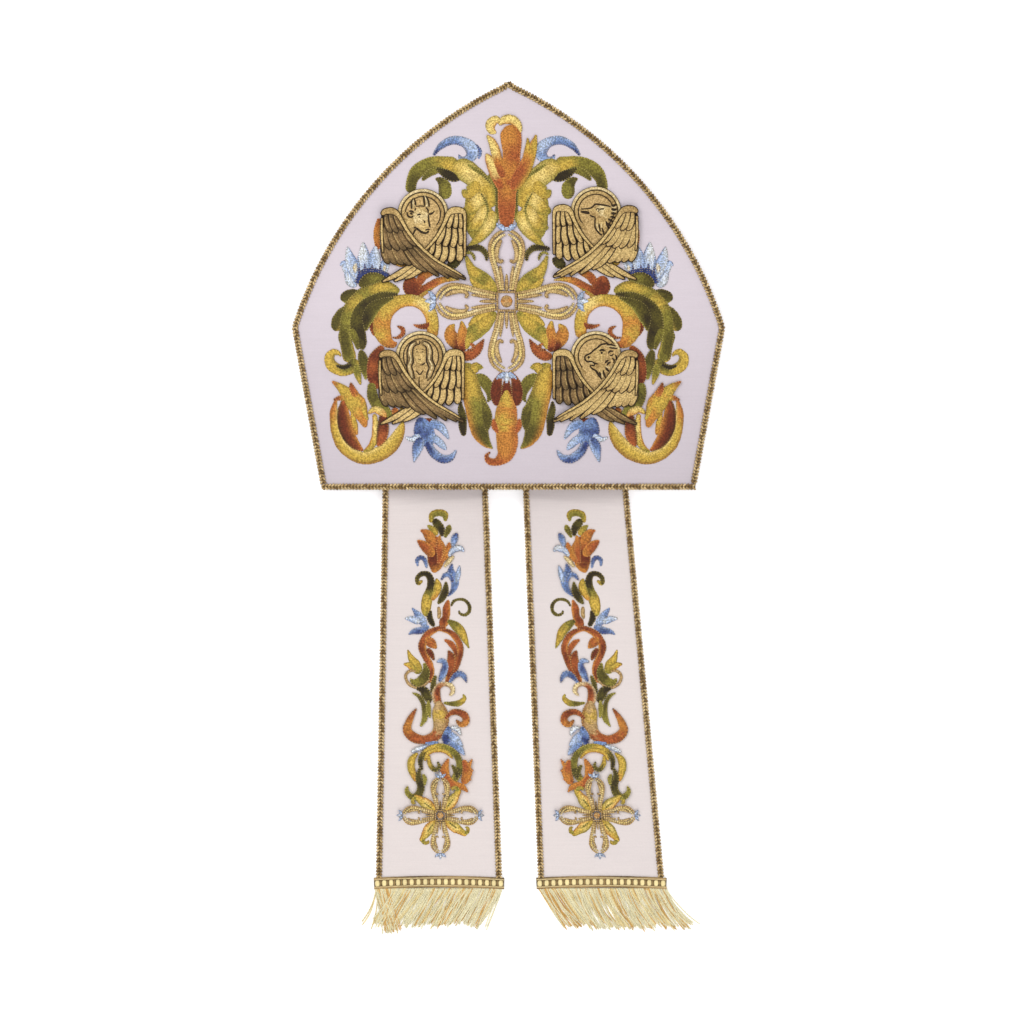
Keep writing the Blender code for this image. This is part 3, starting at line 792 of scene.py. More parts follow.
    ("oyyoo", "o", "-", ((-134, 79, 1.5), (-127, 74.5, 6), (-121, 67, 7.4), (-117, 58, 5), (-114, 49, 1.6))),
    ("ryy", "-", "-", ((-141, 86, .6), (-134, 81, 3.4), (-128, 75, 5.6))),
    ("Rro", "-", "-", ((-126, 85, .6), (-124.5, 79.5, 2.6), (-121, 73.5, 3.4))),
    ("Rry", "-", "-", ((-140, 71, .6), (-135, 72.5, 2), (-130, 73, 2.4))),
    ("oyy", "-", "-", ((-116, 73, .8), (-116, 67, 2.8), (-115, 60, 2.4), (-112, 55, .8))),
    # Leaf at the lower centre
    ("kGkk", "-", "-", ((-38, 70, .6), (-38, 64, 2.6), (-36.5, 57, 3.2), (-36.5, 50, 3.2), (-35.5, 42, 2))),
    ("ygy", "-", "o", ((-37, 99, 1), (-32.5, 96, 5), (-29, 88, 5))),
    ("yyg", "-", "-", ((-29, 92, 3), (-26, 97, 4), (-20, 96.5, .6))),
    ("gG", "-", "-", ((-28, 88, 4), (-21, 87, 4.6), (-15.5, 80, 4.4), (-15, 73, 2.2), (-17, 69, .6))),
    ("yyyggGGg", "G", "o", ((-35, 97, 4), (-31.5, 88, 7), (-29, 76, 8), (-25.5, 65, 9), (-24, 54, 8.2),
        (-22.5, 45, 6.8), (-18, 37, 4), (-12.5, 32, .5))),
    ("yoy", "-", "-", ((-34, 92, .6), (-31, 80, 1.6), (-28, 68, 1.6), (-27, 56, .6))),
    ("gGG", "-", "-", ((-22, 72, 1), (-18, 62, 4), (-17, 53, 3.6), (-17.5, 45, .8))),
    # Dark petals at the bottom centre
    ("rRRR", "-", "-", ((-5.5, 93, .8), (-9, 84, 4), (-10, 75, 4.8), (-9, 66, 2.4))),
    # Blue lily between the leaf and the corner
    ("BbBbB", "b", "B", ((-71, 57, 3), (-68, 48, 8), (-65, 40, 6.6), (-63.5, 33, 3.4))),
    ("bbll", "l", "b", ((-63, 53, 3), (-55, 50, 3.6), (-51, 45.5, 2.6), (-47.5, 39.5, .7))),
    ("bll", "l", "b", ((-63, 43, 3), (-56, 38, 3.2), (-52, 34, 2.4), (-49.5, 31, .7))),
    ("lw", "-", "b", ((-70, 43, 3), (-77, 39.5, 2.2), (-82.5, 41.5, .5))),
    ("Bbl", "l", "B", ((-69, 41, 3), (-72.5, 33, 4.2), (-75.5, 21, .5))),
    ("BBbBbl", "l", "B", ((-65, 38, 3), (-60.5, 29.5, 3.5), (-53, 24, 3.5), (-46, 25, 2.7), (-41.5, 31, .6))),
)
SINGLE_STRIPS = (
    # Flame at the top
    ("rror", "r", "r", ((-1.4, 208, 4.6), (-1.4, 222, 7), (-1.2, 236, 7.6), (0, 247, 8.6), (0, 255, 5))),
    ("roroo", "o", "r", ((0, 242, 6), (1.6, 256, 7.4), (2.4, 266, 7), (2.4, 275, 8), (1.8, 283, 8.4),
        (1.4, 290.5, 5.6))),
    ("rrroyy", "r", "y", ((3, 238, 4), (8, 247.5, 6), (13, 256, 5.6), (17, 265.5, 4.6), (20, 275, 3),
        (22, 282.5, .6))),
    ("royy", "-", "-", ((12, 257, 2.4), (14.4, 266, 2.8), (15.4, 274, 1.8), (15.2, 280, .6))),
    ("rrYYY", "r", "o", ((-5, 239, 3.6), (-9, 248.5, 4.6), (-12.5, 257, 4.6), (-16, 264, 3),
        (-18, 267.5, .8))),
    ("rroYYY", "-", "o", ((-3.5, 248, 3.6), (-7.5, 258, 3.6), (-10, 268, 3.8), (-13, 276.5, 3.2),
        (-17.2, 282, .8))),
    ("oro", "-", "-", ((4, 260, .5), (5.6, 271, 1.6), (5, 282, .6))),
    ("RrR", "-", "-", ((-1.4, 259, .5), (-2.4, 271, 1.4), (-2.6, 281, .6))),
    ("YYYY", "-", "o", ((-9.5, 283.8, 1.2), (-13.5, 286, 3.2), (-14.3, 291, 4), (-9.8, 294.4, 3.4),
        (-6, 291.5, 1.4))),
    ("YYYY", "-", "o", ((-7.5, 290, 1), (-3.5, 294.2, 3.2), (2.5, 294.6, 3.8), (7.4, 290.8, 3),
        (10, 284.5, 1))),
    # Middle of the bottom
    ("RRR", "-", "-", ((-1.5, 90, .6), (-1.5, 82, 3.4), (-1.5, 74, 4.6), (-1.5, 66, 2))),
    ("yyoyooorrR", "r", "-", ((-1.5, 79, 1), (-1.5, 72, 5), (-1.5, 64, 8), (-2, 55, 9), (-1.5, 45, 8.6),
        (-1, 36, 8.4), (-3, 27, 6.6), (-9, 21.8, 3.4), (-15, 22, 2.8), (-17.5, 26, 1.6), (-14.5, 29.5, .6))),
    ("yoro", "-", "-", ((-1.5, 66, .6), (-1.5, 56, 1.6), (-1, 46, 1.8), (-1, 34, .6))),
    ("rr", "-", "-", ((-12, 56, .8), (-11, 50, 2.6), (-8, 44, 1))),
    ("rr", "-", "-", ((9, 56, .8), (8, 50, 2.6), (5.5, 44, 1))),
)
CROSS_CENTRE = (-1.5, 149.5)
CROSS_ARM_STRIPS = (
    # Across the arm and out along it, from the cross's centre. The outer band comes before what it frames.
    ("tptp", "n", "-", ((6.4, 8, .9), (7.6, 15, 1.25), (9.6, 24, 1.3), (11.8, 31, 1.3), (13.4, 38.5, 1.3),
        (13.3, 45, 1.3), (10.8, 50.5, 1.3), (6.2, 54.6, 1.2), (1.2, 57, .9))),
    ("YsYs", "-", "-", ((4.4, 8.5, .9), (5.4, 16, 1.25), (7.4, 24.5, 1.3), (9.5, 31, 1.3), (11, 38.5, 1.3),
        (10.8, 43.8, 1.3), (8.5, 48.2, 1.3), (4.8, 51.6, 1.2), (1, 53.6, .8))),
    ("tpt", "-", "-", ((2.8, 33.4, 1.5), (5, 31.2, 1.3), (7.6, 33.6, 1.5), (8, 38.5, 1.8), (6.8, 44, 1.8),
        (4, 49.2, .9))),
    ("ptp", "-", "-", ((2.8, 8.6, 1), (3.6, 16, 1.4), (4.6, 23, 1.3), (5.2, 28.5, .6))),
)
CROSS_MIDDLE_STRIPS = (
    ("ptp", "-", "-", ((0, 8, 1.5), (0, 15, 1.5), (0, 22, .6))),
    ("lwl", "-", "b", ((0, 56, 1.4), (0, 61, 2.4), (0, 66, .5))),
)
CROSS_FRAME = 7.4
CROSS_FRAME_WIDTH = 0.9
CROSS_BOSS = 4.8
CROSS_EYE = 1.6
CROSS_TIP_STRIP = ("lll", "-", "b", ((1.6, 56, 1), (4.2, 59.5, 2.2), (7, 60.5, 1), (7.8, 63, .4)))


def swapped(along, left, right, points, centre_line=CENTRE_LINE):
    """The same strip on the other side of the middle."""
    return along, right, left, [(2 * centre_line - x, y, width) for x, y, width in points]


def sew_strips(work, strips):
    for along, left, right, points in strips:
        work.strip(points, along, left, right)


def sew_cross(work, centre, scale):
    """Four arms of looped gold cord round a framed boss, with a pale blue crown at the end of each arm."""
    for quarter in range(4):
        turn = Matrix.Rotation(quarter * math.pi / 2, 2)
        strips = [*CROSS_ARM_STRIPS, CROSS_TIP_STRIP]
        strips += [swapped(*strip, centre_line=0.0) for strip in strips]
        for along, left, right, points in [*CROSS_MIDDLE_STRIPS, *strips]:
            placed = []
            for x, y, width in points:
                spot = turn @ Vector((x, y)) * scale
                placed.append((centre[0] + spot.x, centre[1] + spot.y, width * scale))
            work.strip(placed, along, left, right)
    half_frame = CROSS_FRAME * scale
    for out_x, out_y in ((1, 0), (0, 1), (-1, 0), (0, -1)):
        ends = [
            (out_x * half_frame - out_y * along, out_y * half_frame + out_x * along)
            for along in (-half_frame, half_frame)
        ]
        side = [(centre[0] + x, centre[1] + y, CROSS_FRAME_WIDTH * scale) for x, y in ends]
        work.strip(side, "tt", blunt=True)
    boss = CROSS_BOSS * scale
    work.strip([(centre[0] + x, centre[1], boss) for x in (-boss, 0, boss)], "oto", "t", "t", rise=0.7)
    eye = CROSS_EYE * scale
    work.strip([(centre[0] + x, centre[1], eye) for x in (-eye, eye)], "YY", rise=0.4)


front_work = Needlework(front_top, seed=11)
for strip in MIRRORED_STRIPS:
    sew_strips(front_work, [strip, swapped(*strip)])
sew_strips(front_work, SINGLE_STRIPS)
cross_work = Needlework(front_top, seed=12)
cross_work.levels = front_work.levels
sew_cross(cross_work, CROSS_CENTRE, 1.0)
for piece in (front_work.sew("front_embroidery", silk_thread), cross_work.sew("front_cross", cross_cord)):
    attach(piece, "root")

# Gold braid of the crown
# A narrow gimp braid of gold thread, sewn over the edges of both boards. Two rows of slanted loops meet along
# a dark middle line, and their outer ends make the edge ragged.
HEM_TOP = BRAID_WIDTH - BRAID_OVERHANG
BRAID_INSET = BRAID_WIDTH / 2 - BRAID_OVERHANG
LOOP_PITCH = 2.6
LOOP_SLANT_DEG = 42.0
LOOP_HALF_LENGTH = 1.75
LOOP_HALF_WIDTH = 0.86
LOOP_ROW_OFFSET = 1.3
LOOP_RINGS = ((-1.0, 0.38), (-0.62, 0.86), (0.0, 1.0), (0.62, 0.86), (1.0, 0.38))
LOOP_SIDES = 6
LOOP_THREADS = "uuvvx"
LOOP_TURN_JITTER = 0.08
# Painted shade on each loop: how dark it grows underneath, from where to its ends, and along its sides
LOOP_UNDER_SHADE = 0.6
LOOP_END_FROM = 0.6
LOOP_END_SHADE = 1.2
LOOP_SIDE_FROM = 0.8
LOOP_SIDE_SHADE = 0.25
LOOP_MOST_SHADE = 0.85
BRAID_CORE_WIDTH = 1.7
BRAID_CORE_RISE = 0.35
BRAID_STEP = 3.0
EDGE_STEPS = 150
EDGE_LAP = 0.4
POINT_DROP = 0.6
HEM_STEPS = 60
HEM_END_GAP = 0.6


def add_loop(work, x, y, turn, half_length, half_width, base, height, letter, glint=1.0):
    """One small loop of thread: a closed spindle that lies along a direction given in radians."""
    along, across = (math.cos(turn), math.sin(turn)), (-math.sin(turn), math.cos(turn))
    first = len(work.points)
    dark, light = THREADS["d"], THREADS[letter]
    for share, girth in LOOP_RINGS:
        for k in range(LOOP_SIDES):
            angle = math.tau * k / LOOP_SIDES
            side, lift = math.cos(angle) * girth, math.sin(angle) * girth
            px = x + along[0] * share * half_length + across[0] * side * half_width
            py = y + along[1] * share * half_length + across[1] * side * half_width
            work.points.append((px, py, work.ground(px, py) + base + height * (1 + lift) / 2))
            # Painted shade, towards the dark thread colour, under the loop, at its ends and along its sides
            shadow = max(0.0, -lift) * LOOP_UNDER_SHADE
            shadow += max(0.0, abs(share) - LOOP_END_FROM) * LOOP_END_SHADE
            if abs(side) > LOOP_SIDE_FROM:
                shadow += LOOP_SIDE_SHADE
            shadow = min(shadow, LOOP_MOST_SHADE)
            work.colours.append([(a + (b - a) * shadow) * glint for a, b in zip(light[:3], dark[:3])])
            work.stitches.append((share * half_length / STITCH_SPAN, side * half_width / STITCH_SPAN))
    work.close_rings(first, len(LOOP_RINGS), LOOP_SIDES)


def spaced(path, pitch):
    """Points at an even pitch along a line of points, each with the direction of the line there."""
    spots, wanted, run = [], pitch / 2, 0.0
    for (ax, ay), (bx, by) in zip(path, path[1:]):
        length = math.dist((ax, ay), (bx, by))
        while length > 0 and wanted <= run + length:
            share = (wanted - run) / length
            spots.append((ax + (bx - ax) * share, ay + (by - ay) * share, math.atan2(by - ay, bx - ax)))
            wanted += pitch
        run += length
    return spots


def lay_braid(work, path, base, height):
    """A braid along a line of points: a flat dark core, and two rows of loops over it."""
    core = [(x, y, BRAID_CORE_WIDTH) for x, y in path]
    work.strip(core, "mm", "m", "m", rise=height * BRAID_CORE_RISE, layer=0, ragged=0.0, blunt=True)
    for x, y, turn in spaced(path, LOOP_PITCH):
        for side in (-1, 1):
            cx = x - math.sin(turn) * side * LOOP_ROW_OFFSET
            cy = y + math.cos(turn) * side * LOOP_ROW_OFFSET
            jitter = work.draw.uniform(-LOOP_TURN_JITTER, LOOP_TURN_JITTER)
            slant = turn + side * math.radians(LOOP_SLANT_DEG) + jitter
            letter = work.draw.choice(LOOP_THREADS)
            add_loop(
                work, cx, cy, slant, LOOP_HALF_LENGTH * work.draw.uniform(0.93, 1.06), LOOP_HALF_WIDTH,
                base, height, letter, work.draw.uniform(0.86, 1.1),
            )


def crown_edge_path():
    """The middle line of the edge braid, up one side of the crown, over the point and down the other."""
    low = HEM_TOP - EDGE_LAP
    heights = [low + (CROWN_HEIGHT - low) * k / EDGE_STEPS for k in range(EDGE_STEPS + 1)]
    edge = [Vector((crown_half_width(height), height)) for height in heights]
    right = []
    for k, point in enumerate(edge):
        along = (edge[min(k + 1, EDGE_STEPS)] - edge[max(k - 1, 0)]).normalized()
        inside = point + Vector((-along.y, along.x)) * BRAID_INSET
        if inside.x >= 0:
            right.append((inside.x, inside.y))
    return right + [(0.0, CROWN_HEIGHT - POINT_DROP)] + [(-x, y) for x, y in reversed(right)]


gold_braid = thread_finish("gold_braid", 0.15, 0.45, 0.14, 0.5)
hem_half = RIM_WIDTH / 2 + BRAID_OVERHANG - HEM_END_GAP
hem_path = [(hem_half * (2 * k / HEM_STEPS - 1), BRAID_INSET) for k in range(HEM_STEPS + 1)]


def braid_seat(x, y):
    return front_top(x, y) + FIT


def table_seat(x, y):
    return CLOTH_SINK


braid_runs = (
    # name, node, middle line, what it is sewn on, height of the loops over that, seed
    ("front_edge_gimp", "front_edge_braid", crown_edge_path(), braid_seat, 0.0, 31),
    ("front_hem_gimp", "front_hem_braid", hem_path, braid_seat, 0.0, 32),
    ("back_edge_gimp", "back_edge_braid", crown_edge_path(), table_seat, -CLOTH_SINK, 33),
    ("back_hem_gimp", "back_hem_braid", hem_path, table_seat, -CLOTH_SINK, 34),
)
for braid_name, node, path, ground, base, seed in braid_runs:
    braid_work = Needlework(ground, seed=seed, step=BRAID_STEP)
    lay_braid(braid_work, path, base, BRAID_THICKNESS)
    braid = braid_work.sew(braid_name, gold_braid)
    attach(braid, "root")
    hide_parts(node)

# Badges
# Four padded badges worked in gold thread with dark outlines: a halo with a head in it, above two crossed
# wings. Places are in millimetres from the halo's centre. The wings are drawn for the left badges, with the
# left wing in front, and mirrored for the right ones.
BADGE_PLACES = {
    "ox": (-0.229 * RIM_WIDTH, 0.6765 * CROWN_HEIGHT), "eagle": (0.234 * RIM_WIDTH, 0.682 * CROWN_HEIGHT),
    "man": (-0.234 * RIM_WIDTH, 0.326 * CROWN_HEIGHT), "lion": (0.234 * RIM_WIDTH, 0.326 * CROWN_HEIGHT),
}
BADGE_STEP = 0.9
BADGE_COLUMNS = range(-36, 37, 2)
BADGE_ROWS = range(-46, 21, 2)
OUTLINE_WIDTH = 0.55
OUTLINE_RISE = 0.5
FEATHER_RISE = 0.6
FEATHER_GROWTH = 1.14
FEATHER_LEAD = 2.4
RIB_RISE = 0.8
ROW_LAYERS = 3
PAD_HEIGHT = 0.6
HALO_RADIUS = 20.3
FIELD_RADIUS = 13.6
FIELD_RISE = 0.12
HALO_RINGS = (
    # radius, half width, first_deg, last_deg, colours, rise
    # The outer ring is paler over its top, a painted highlight
    (18.9, 1.1, -40, 220, "pssp", 0.55),
    (15.7, 1.3, -60, 240, "nnpn", 0.35),
)
# How a head's filled shapes, lines and painted highlights lie over the field, in layers and millimetres
FILL_LAYER, FILL_RISE = 1, 0.4
LINE_LAYER, LINE_RISE, LINE_GROWTH = 3, 0.3, 1.3
HIGHLIGHT_RISE = 0.35
# The lowest layer of each wing, and the painted sheen, a pale line along each feather in painted shade
WING_LAYERS = {"back": 1, "front": 5}
SHEEN_LAYER, SHEEN_RISE, SHEEN_WIDTH = 5, 0.35, 0.26
SHEEN_OUT, SHEEN_UP = -0.55, 0.3
FRONT_WING_PAD = (
    (-26.5, 4.4, 6.8), (-26, -5, 7.6), (-23, -16, 10), (-17, -27, 11.5), (-6, -34, 8), (6, -40, 5),
    (16, -45, 3),
)
BACK_WING_PAD = (
    (27, 4.6, 6.8), (27, -5, 7), (25.5, -15, 8.6), (22.5, -24, 10.6), (19, -30, 11), (15, -35, 6),
)
FIELD_TAIL = ((0, -4, 12), (.5, -12, 12.5), (2, -20, 8.5), (2, -27, 4), (0, -31, .8))
FRONT_WING_ROWS = (
    (((-14, -29, 1.5), (-9, -36, 2), (-3, -42, 1.8), (3, -46, .6)),
     ((-10, -28, 1.5), (-3, -36, 2), (5, -43.5, 1.8), (12.5, -49.5, .6)),
     ((-6, -27, 1.5), (2, -35, 2), (11, -43, 1.8), (20.5, -51, .6)),
     ((-2, -28, 1.5), (7, -36.5, 1.9), (17, -44.5, 1.7), (28.5, -51.8, .6)),
     ((3, -32, 1.4), (12, -39.5, 1.7), (23, -46.5, 1.7), (34, -52, .6))),
    (((-31, -24, 2), (-31, -30, 2.2), (-29, -36, 2.2), (-27, -39.5, 1.2)),
     ((-28, -25, 2), (-26.5, -31, 2.3), (-24, -36.5, 2.2), (-21, -39.8, 1)),
     ((-24, -26, 2), (-22, -32, 2.3), (-19, -37, 2.1), (-15.5, -40, 1)),
     ((-20, -26, 2), (-17.5, -32, 2.3), (-14, -37, 2.1), (-9.5, -40.5, 1))),
    (((-30.5, -12, 1.8), (-30, -18, 1.9), (-28.5, -24, 1.9), (-25.5, -28.5, 1)),
     ((-27, -13, 1.9), (-25.5, -19, 2.1), (-22.5, -25, 2), (-19, -29, 1)),
     ((-23, -13, 1.9), (-21, -19, 2.1), (-17.5, -25, 2), (-13.5, -28.5, 1)),
     ((-19.2, -12.5, 1.8), (-16.8, -18.5, 2), (-12.8, -24, 1.9), (-8.3, -27, .9)),
     ((-16, -12, 1), (-13.2, -16.8, 1.4), (-9.6, -21.6, 1.4), (-5, -25.6, .7))),
    (((-29.3, -2.5, 1.4), (-28.9, -7, 1.8), (-27, -12, 1.8), (-24.8, -14.8, .9)),
     ((-25.6, -2, 1.5), (-24.6, -7, 1.8), (-22.3, -12, 1.8), (-19.6, -14.6, .9)),
     ((-22.2, -2, 1.3), (-20.2, -6.8, 1.6), (-17.7, -10.8, 1.5), (-15.4, -13.2, .8))),
)
BACK_WING_ROWS = (
    (((-6, -40, 2), (-14, -44.5, 2), (-23, -49.5, 1.7), (-32.5, -54, .5)),
     ((-3, -41.5, 2), (-9, -45.5, 1.9), (-15.5, -49.8, 1.5), (-23, -53.6, .5)),
     ((0, -43, 2), (-4, -46, 1.8), (-9, -49.3, 1.3), (-14.5, -51.8, .5))),
    (((8, -24, 1.5), (7.5, -28, 1.6), (6, -31.5, 1.5), (4.5, -33.8, 1)),
     ((12.5, -25, 1.8), (12.5, -29.5, 2.1), (11, -34, 2), (9, -36.8, 1.2)),
     ((17.8, -26, 1.8), (17.8, -31, 2.2), (16.2, -35.8, 2.1), (13.8, -39, 1.2)),
     ((23.3, -26, 1.8), (23.7, -31.5, 2.2), (22.5, -36, 2.1), (20.5, -38.3, 1.3)),
     ((29.2, -25, 1.8), (29.6, -31, 2.3), (29.1, -35.5, 2.2), (28, -37.6, 1.4))),
    (((16.5, -11, 1.4), (15.5, -16.5, 1.7), (13, -21.5, 1.7), (11, -24.8, 1.1)),
     ((20.7, -12, 1.6), (20.2, -17.5, 1.9), (18.4, -23, 1.9), (16.8, -26, 1.2)),
     ((25.3, -12.5, 1.6), (25.5, -18.5, 2), (24.3, -24, 2), (23, -26.8, 1.3)),
     ((29.8, -12.5, 1.4), (30.3, -18, 1.5), (30.2, -22.5, 1.5), (29.8, -25.3, 1.1))),
    (((23.4, -1.2, 1.2), (22.3, -5, 1.6), (20.9, -8.8, 1.6), (19.9, -11.4, 1)),
     ((26.6, -1.2, 1.3), (26.6, -5, 1.5), (26, -9, 1.6), (25.3, -11.7, 1.1)),
     ((29.9, -1.4, 1.1), (30.3, -5.5, 1.2), (30.3, -9.5, 1.3), (30.1, -12, .9))),
)
FRONT_WING_RIBS = (
    ((-32.6, -1, 1.2), (-31, 1.5, 2), (-27, 2.5, 2.5), (-22.8, 1.8, 2.3), (-19.6, -1, 1.7), (-16.5, -6, 1.3),
     (-12.5, -13, 1.15), (-7, -20.5, 1.15), (-1, -27, 1.1), (5, -32.5, 1.05), (12, -37.8, .95),
     (20, -42.5, .85), (27, -46.5, .7), (33, -50.3, .4)),
    ((-32.7, -3, .8), (-32.9, -12, .85), (-32.6, -22, .8), (-31.8, -31, .5)),
)
BACK_WING_RIBS = (
    ((33.4, -34, .7), (33.5, -22, .9), (33.5, -10, .9), (33.3, -1, 1.2), (31.4, 2.1, 2.1), (27, 3, 2.6),
     (23, 2.3, 2.5), (20.1, -.5, 1.9), (17.8, -6, 1.3), (14.6, -12.5, 1.15), (10.5, -19, 1.1), (5.5, -25, 1),
     (1.5, -29, .8)),
)
# Each head has its filled shapes, its dark lines, and the pale strips of painted highlight that stand beside
# them.
OX_FILLS = (
    ("npn", ((-16, .8, 1.5), (-13.5, -1.5, 3.8), (-11.5, -6, 5), (-10, -11, 3.6), (-9, -16, 1.4))),
    ("pspp", ((-1.6, 5.4, 3.4), (-1.8, 2, 5.4), (-2, -2, 6), (-1.4, -6, 5.8), (0, -10, 5), (1.6, -13.4, 3),
        (2.4, -15.2, 1))),
    ("pp", ((4.2, 1.2, .9), (6.6, 1.7, 1.2), (9.2, 2.6, .4))),
)
OX_LINES = (
    ((-12.6, 1.8, .4), (-12.3, -1, .6), (-9.8, -2.6, .6), (-7.4, -1.6, .4)),
    ((-11.4, 2, .4), (-9.2, 2.4, .6), (-7.2, 1.2, .5)), ((-10.6, .4, .4), (-9, .6, .5), (-8.6, -.8, .4)),
    ((-5, -1.4, .4), (-3.2, -.2, .6), (-1, -.6, .4)), ((-3.8, -2.2, .6), (-2.2, -2.6, .7)),
    ((.2, -4.6, .3), (1.2, -6, .5), (1.1, -8, .4)), ((1.6, -13.4, .4), (3.6, -12.2, .5), (5.6, -12.6, .4)),
    ((-7.8, -11.2, .4), (-5.8, -11, .6), (-3, -13, .7), (-.6, -14.6, .7), (2.4, -15.2, .6), (5, -13.6, .5)),
    ((-5.6, -12, .4), (-7.2, -14.6, .5), (-8.6, -17.4, .4)), ((4.3, -.4, .3), (4.6, -5, .5), (5.8, -11, .4)),
    ((-6, 5, .4), (-6.2, 2.4, .4)), ((2, 5.4, .3), (4, 3.4, .5), (4.2, .6, .4)),
    ((-5.6, 6, .3), (-2, 6.5, .35), (1.8, 6, .3)), ((4.2, .1, .5), (6.4, .1, .6), (9.4, 2.4, .3)),
    ((-9, 4, .4), (-9.3, 8.4, .5), (-8, 12.6, .4)), ((-5.6, 6.6, .4), (-6, 9.4, .5), (-7, 12.4, .3)),
    ((1.4, 6.4, .3), (1, 10, .6), (.6, 15, .4)), ((5, 5.4, .3), (4.6, 9.6, .5), (2.2, 14.8, .4)),
)
OX_HIGHLIGHTS = (
    ((-7.3, 4.6, .7), (-7.8, 8.6, .6), (-7.5, 12, .3)), ((3.2, 5.4, .8), (3, 10, .7), (1.4, 14.4, .3)),
)
EAGLE_FILLS = (
    ("npn", ((4, -3, 5.4), (4.4, -8, 6.2), (5, -13, 4.8), (6.4, -18, 2.2))),
    ("nn", ((0, -2.4, 1.8), (-3, -2.6, 1), (-5.5, -1.8, .4))),
    ("pn", ((0, 1.6, 2.4), (-4, 1.6, 1.1), (-8, 1.4, .8), (-12, 1, .3))),
    ("pspn", ((-.6, 1.6, 2.6), (3.6, 1.2, 4.6), (8.4, -.4, 5), (12, -1.6, 4.4), (14, -2, 2))),
)
EAGLE_LINES = (
    ((-12, 2.2, .3), (-6, 2.5, .4), (-3.4, 3.4, .45), (-1.6, 5, .5), (0, 6.1, .5), (5.8, 5.4, .5),
     (11.8, 4.2, .4)), ((-12.4, .1, .4), (-8, -.5, .9), (-5, -1.2, .8)),
    ((-5, -2.2, .4), (-3, -3.7, .5), (-.6, -4.2, .4)),
    ((.6, .4, .35), (.3, 1.8, .4), (1.4, 2.6, .4), (2.5, 1.8, .4), (2, .4, .4), (.8, .1, .35)),
    ((2.6, 1.7, .4), (4.6, 2.3, .5), (7, 2.3, .4)),
    ((-.6, -4.4, .4), (-.8, -9, .5), (-.4, -13, .5), (1.9, -16.4, .5), (4.8, -18.8, .4)),
    ((2.2, -8.6, .3), (2.8, -12, .6), (3.6, -16, .4)), ((4.4, -12, .4), (5.8, -15.6, .6), (6.2, -18.4, .3)),
    ((7.8, -7, .3), (9, -10.5, .8), (10.6, -13.6, .4)), ((12, 5.4, .3), (14, 5, .8), (16.6, 6.2, .3)),
    ((11.8, 2.4, .3), (14.4, 1.6, .8), (17, 2.6, .3)), ((11.4, -.6, .3), (14, -1.4, .8), (16.4, -1, .3)),
    ((11.2, -3.2, .3), (13.4, -4.2, .7), (15.6, -4.4, .3)), ((9.6, -5.2, .3), (12, -7, .7), (14.6, -8.4, .3)),
    ((9, -8.4, .3), (11, -10.4, .6), (12.4, -12.6, .3)),
)
EAGLE_HIGHLIGHTS = (
    ((.9, -8, .3), (1, -12, .5), (2.2, -15.6, .3)), ((4.4, -8, .3), (4.4, -11, .5), (5, -14, .3)),
    ((12.4, 3.9, .3), (14.6, 3.4, .5), (17, 4.6, .3)), ((12, .9, .3), (14.6, .2, .5), (17, 1, .3)),
    ((10, -9.6, .3), (12, -12, .5), (13, -14, .3)),
)
LION_FILLS = (
    ("nhn", ((9, 9, 3), (14, 5, 4.4), (14.5, -2, 5), (12, -9, 5), (9.4, -15, 3.4), (8.6, -19.4, 1))),
    ("np", ((6, -6, 5), (4.6, -11, 4), (5, -16, 2))),
    ("nn", ((-4.6, -8, 1), (-1, -8.6, 2), (4, -7.6, 4))),
    ("pnpn", ((-7.4, -1.6, 2), (-4.4, -.8, 3.1), (0, .2, 5.6), (4.6, 1.6, 7.2), (8.6, 1.8, 6.8))),
)
LION_LINES = (
    ((9.7, 10, .4), (6.7, 10, .5), (3.4, 9, .5), (.9, 6.6, .5), (-1.6, 5, .5), (-4, 2.6, .5), (-6.5, 1.4, .5),
     (-8.6, .2, .5), (-8.7, -2.6, .5), (-6.5, -4.3, .5), (-3.5, -4.1, .5), (-1.1, -5.6, .5), (1.9, -6.2, .4)),
    ((-7, -.4, .5), (-6, -.8, 1.1), (-4.8, 0, .4)),
    ((-.9, -5.8, .3), (-1.6, -7.6, .5), (-3.6, -7, .4), (-5, -7.6, .4)),
    ((-5, -7.7, .4), (-3, -9.8, .5), (0, -11.6, .6), (1.9, -14.6, .7), (4.8, -18.5, .4)),
    ((2.4, 4.2, .4), (4.8, 5.2, .8), (7.4, 4.2, .4)), ((3.4, 2.6, .5), (4.6, 2.8, .9), (5.6, 2.2, .4)),
    ((9.8, 2, .4), (11.2, 4.2, .6), (14, 3.8, .5)), ((10.6, 1.2, .4), (12.4, .6, .5), (14.2, 2.2, .5)),
    ((10, 7, .3), (14, 6.6, .6), (18, 6.2, .3)), ((8.6, 9, .3), (12, 9.4, .6), (16, 8, .3)),
    ((7.2, -5.6, .3), (8.6, -3.8, .7), (10.4, -3, .3)), ((8.4, -7.6, .3), (10, -5.4, .7), (12.2, -4.6, .3)),
    ((7.4, -8.6, .4), (9, -10.6, .8), (11, -12.4, .3)), ((2.4, -12, .4), (3.4, -14.6, .8), (2.8, -16.6, .4)),
    ((5.6, -10.6, .3), (6.4, -14, .7), (8, -17.6, .3)), ((12.4, -.8, .3), (14.4, -3, .6), (14, -6, .3)),
    ((15, 2, .3), (16.4, -1, .6), (15.6, -4, .3)), ((9.8, -13, .3), (9.6, -16, .6), (8.2, -18.6, .3)),
)
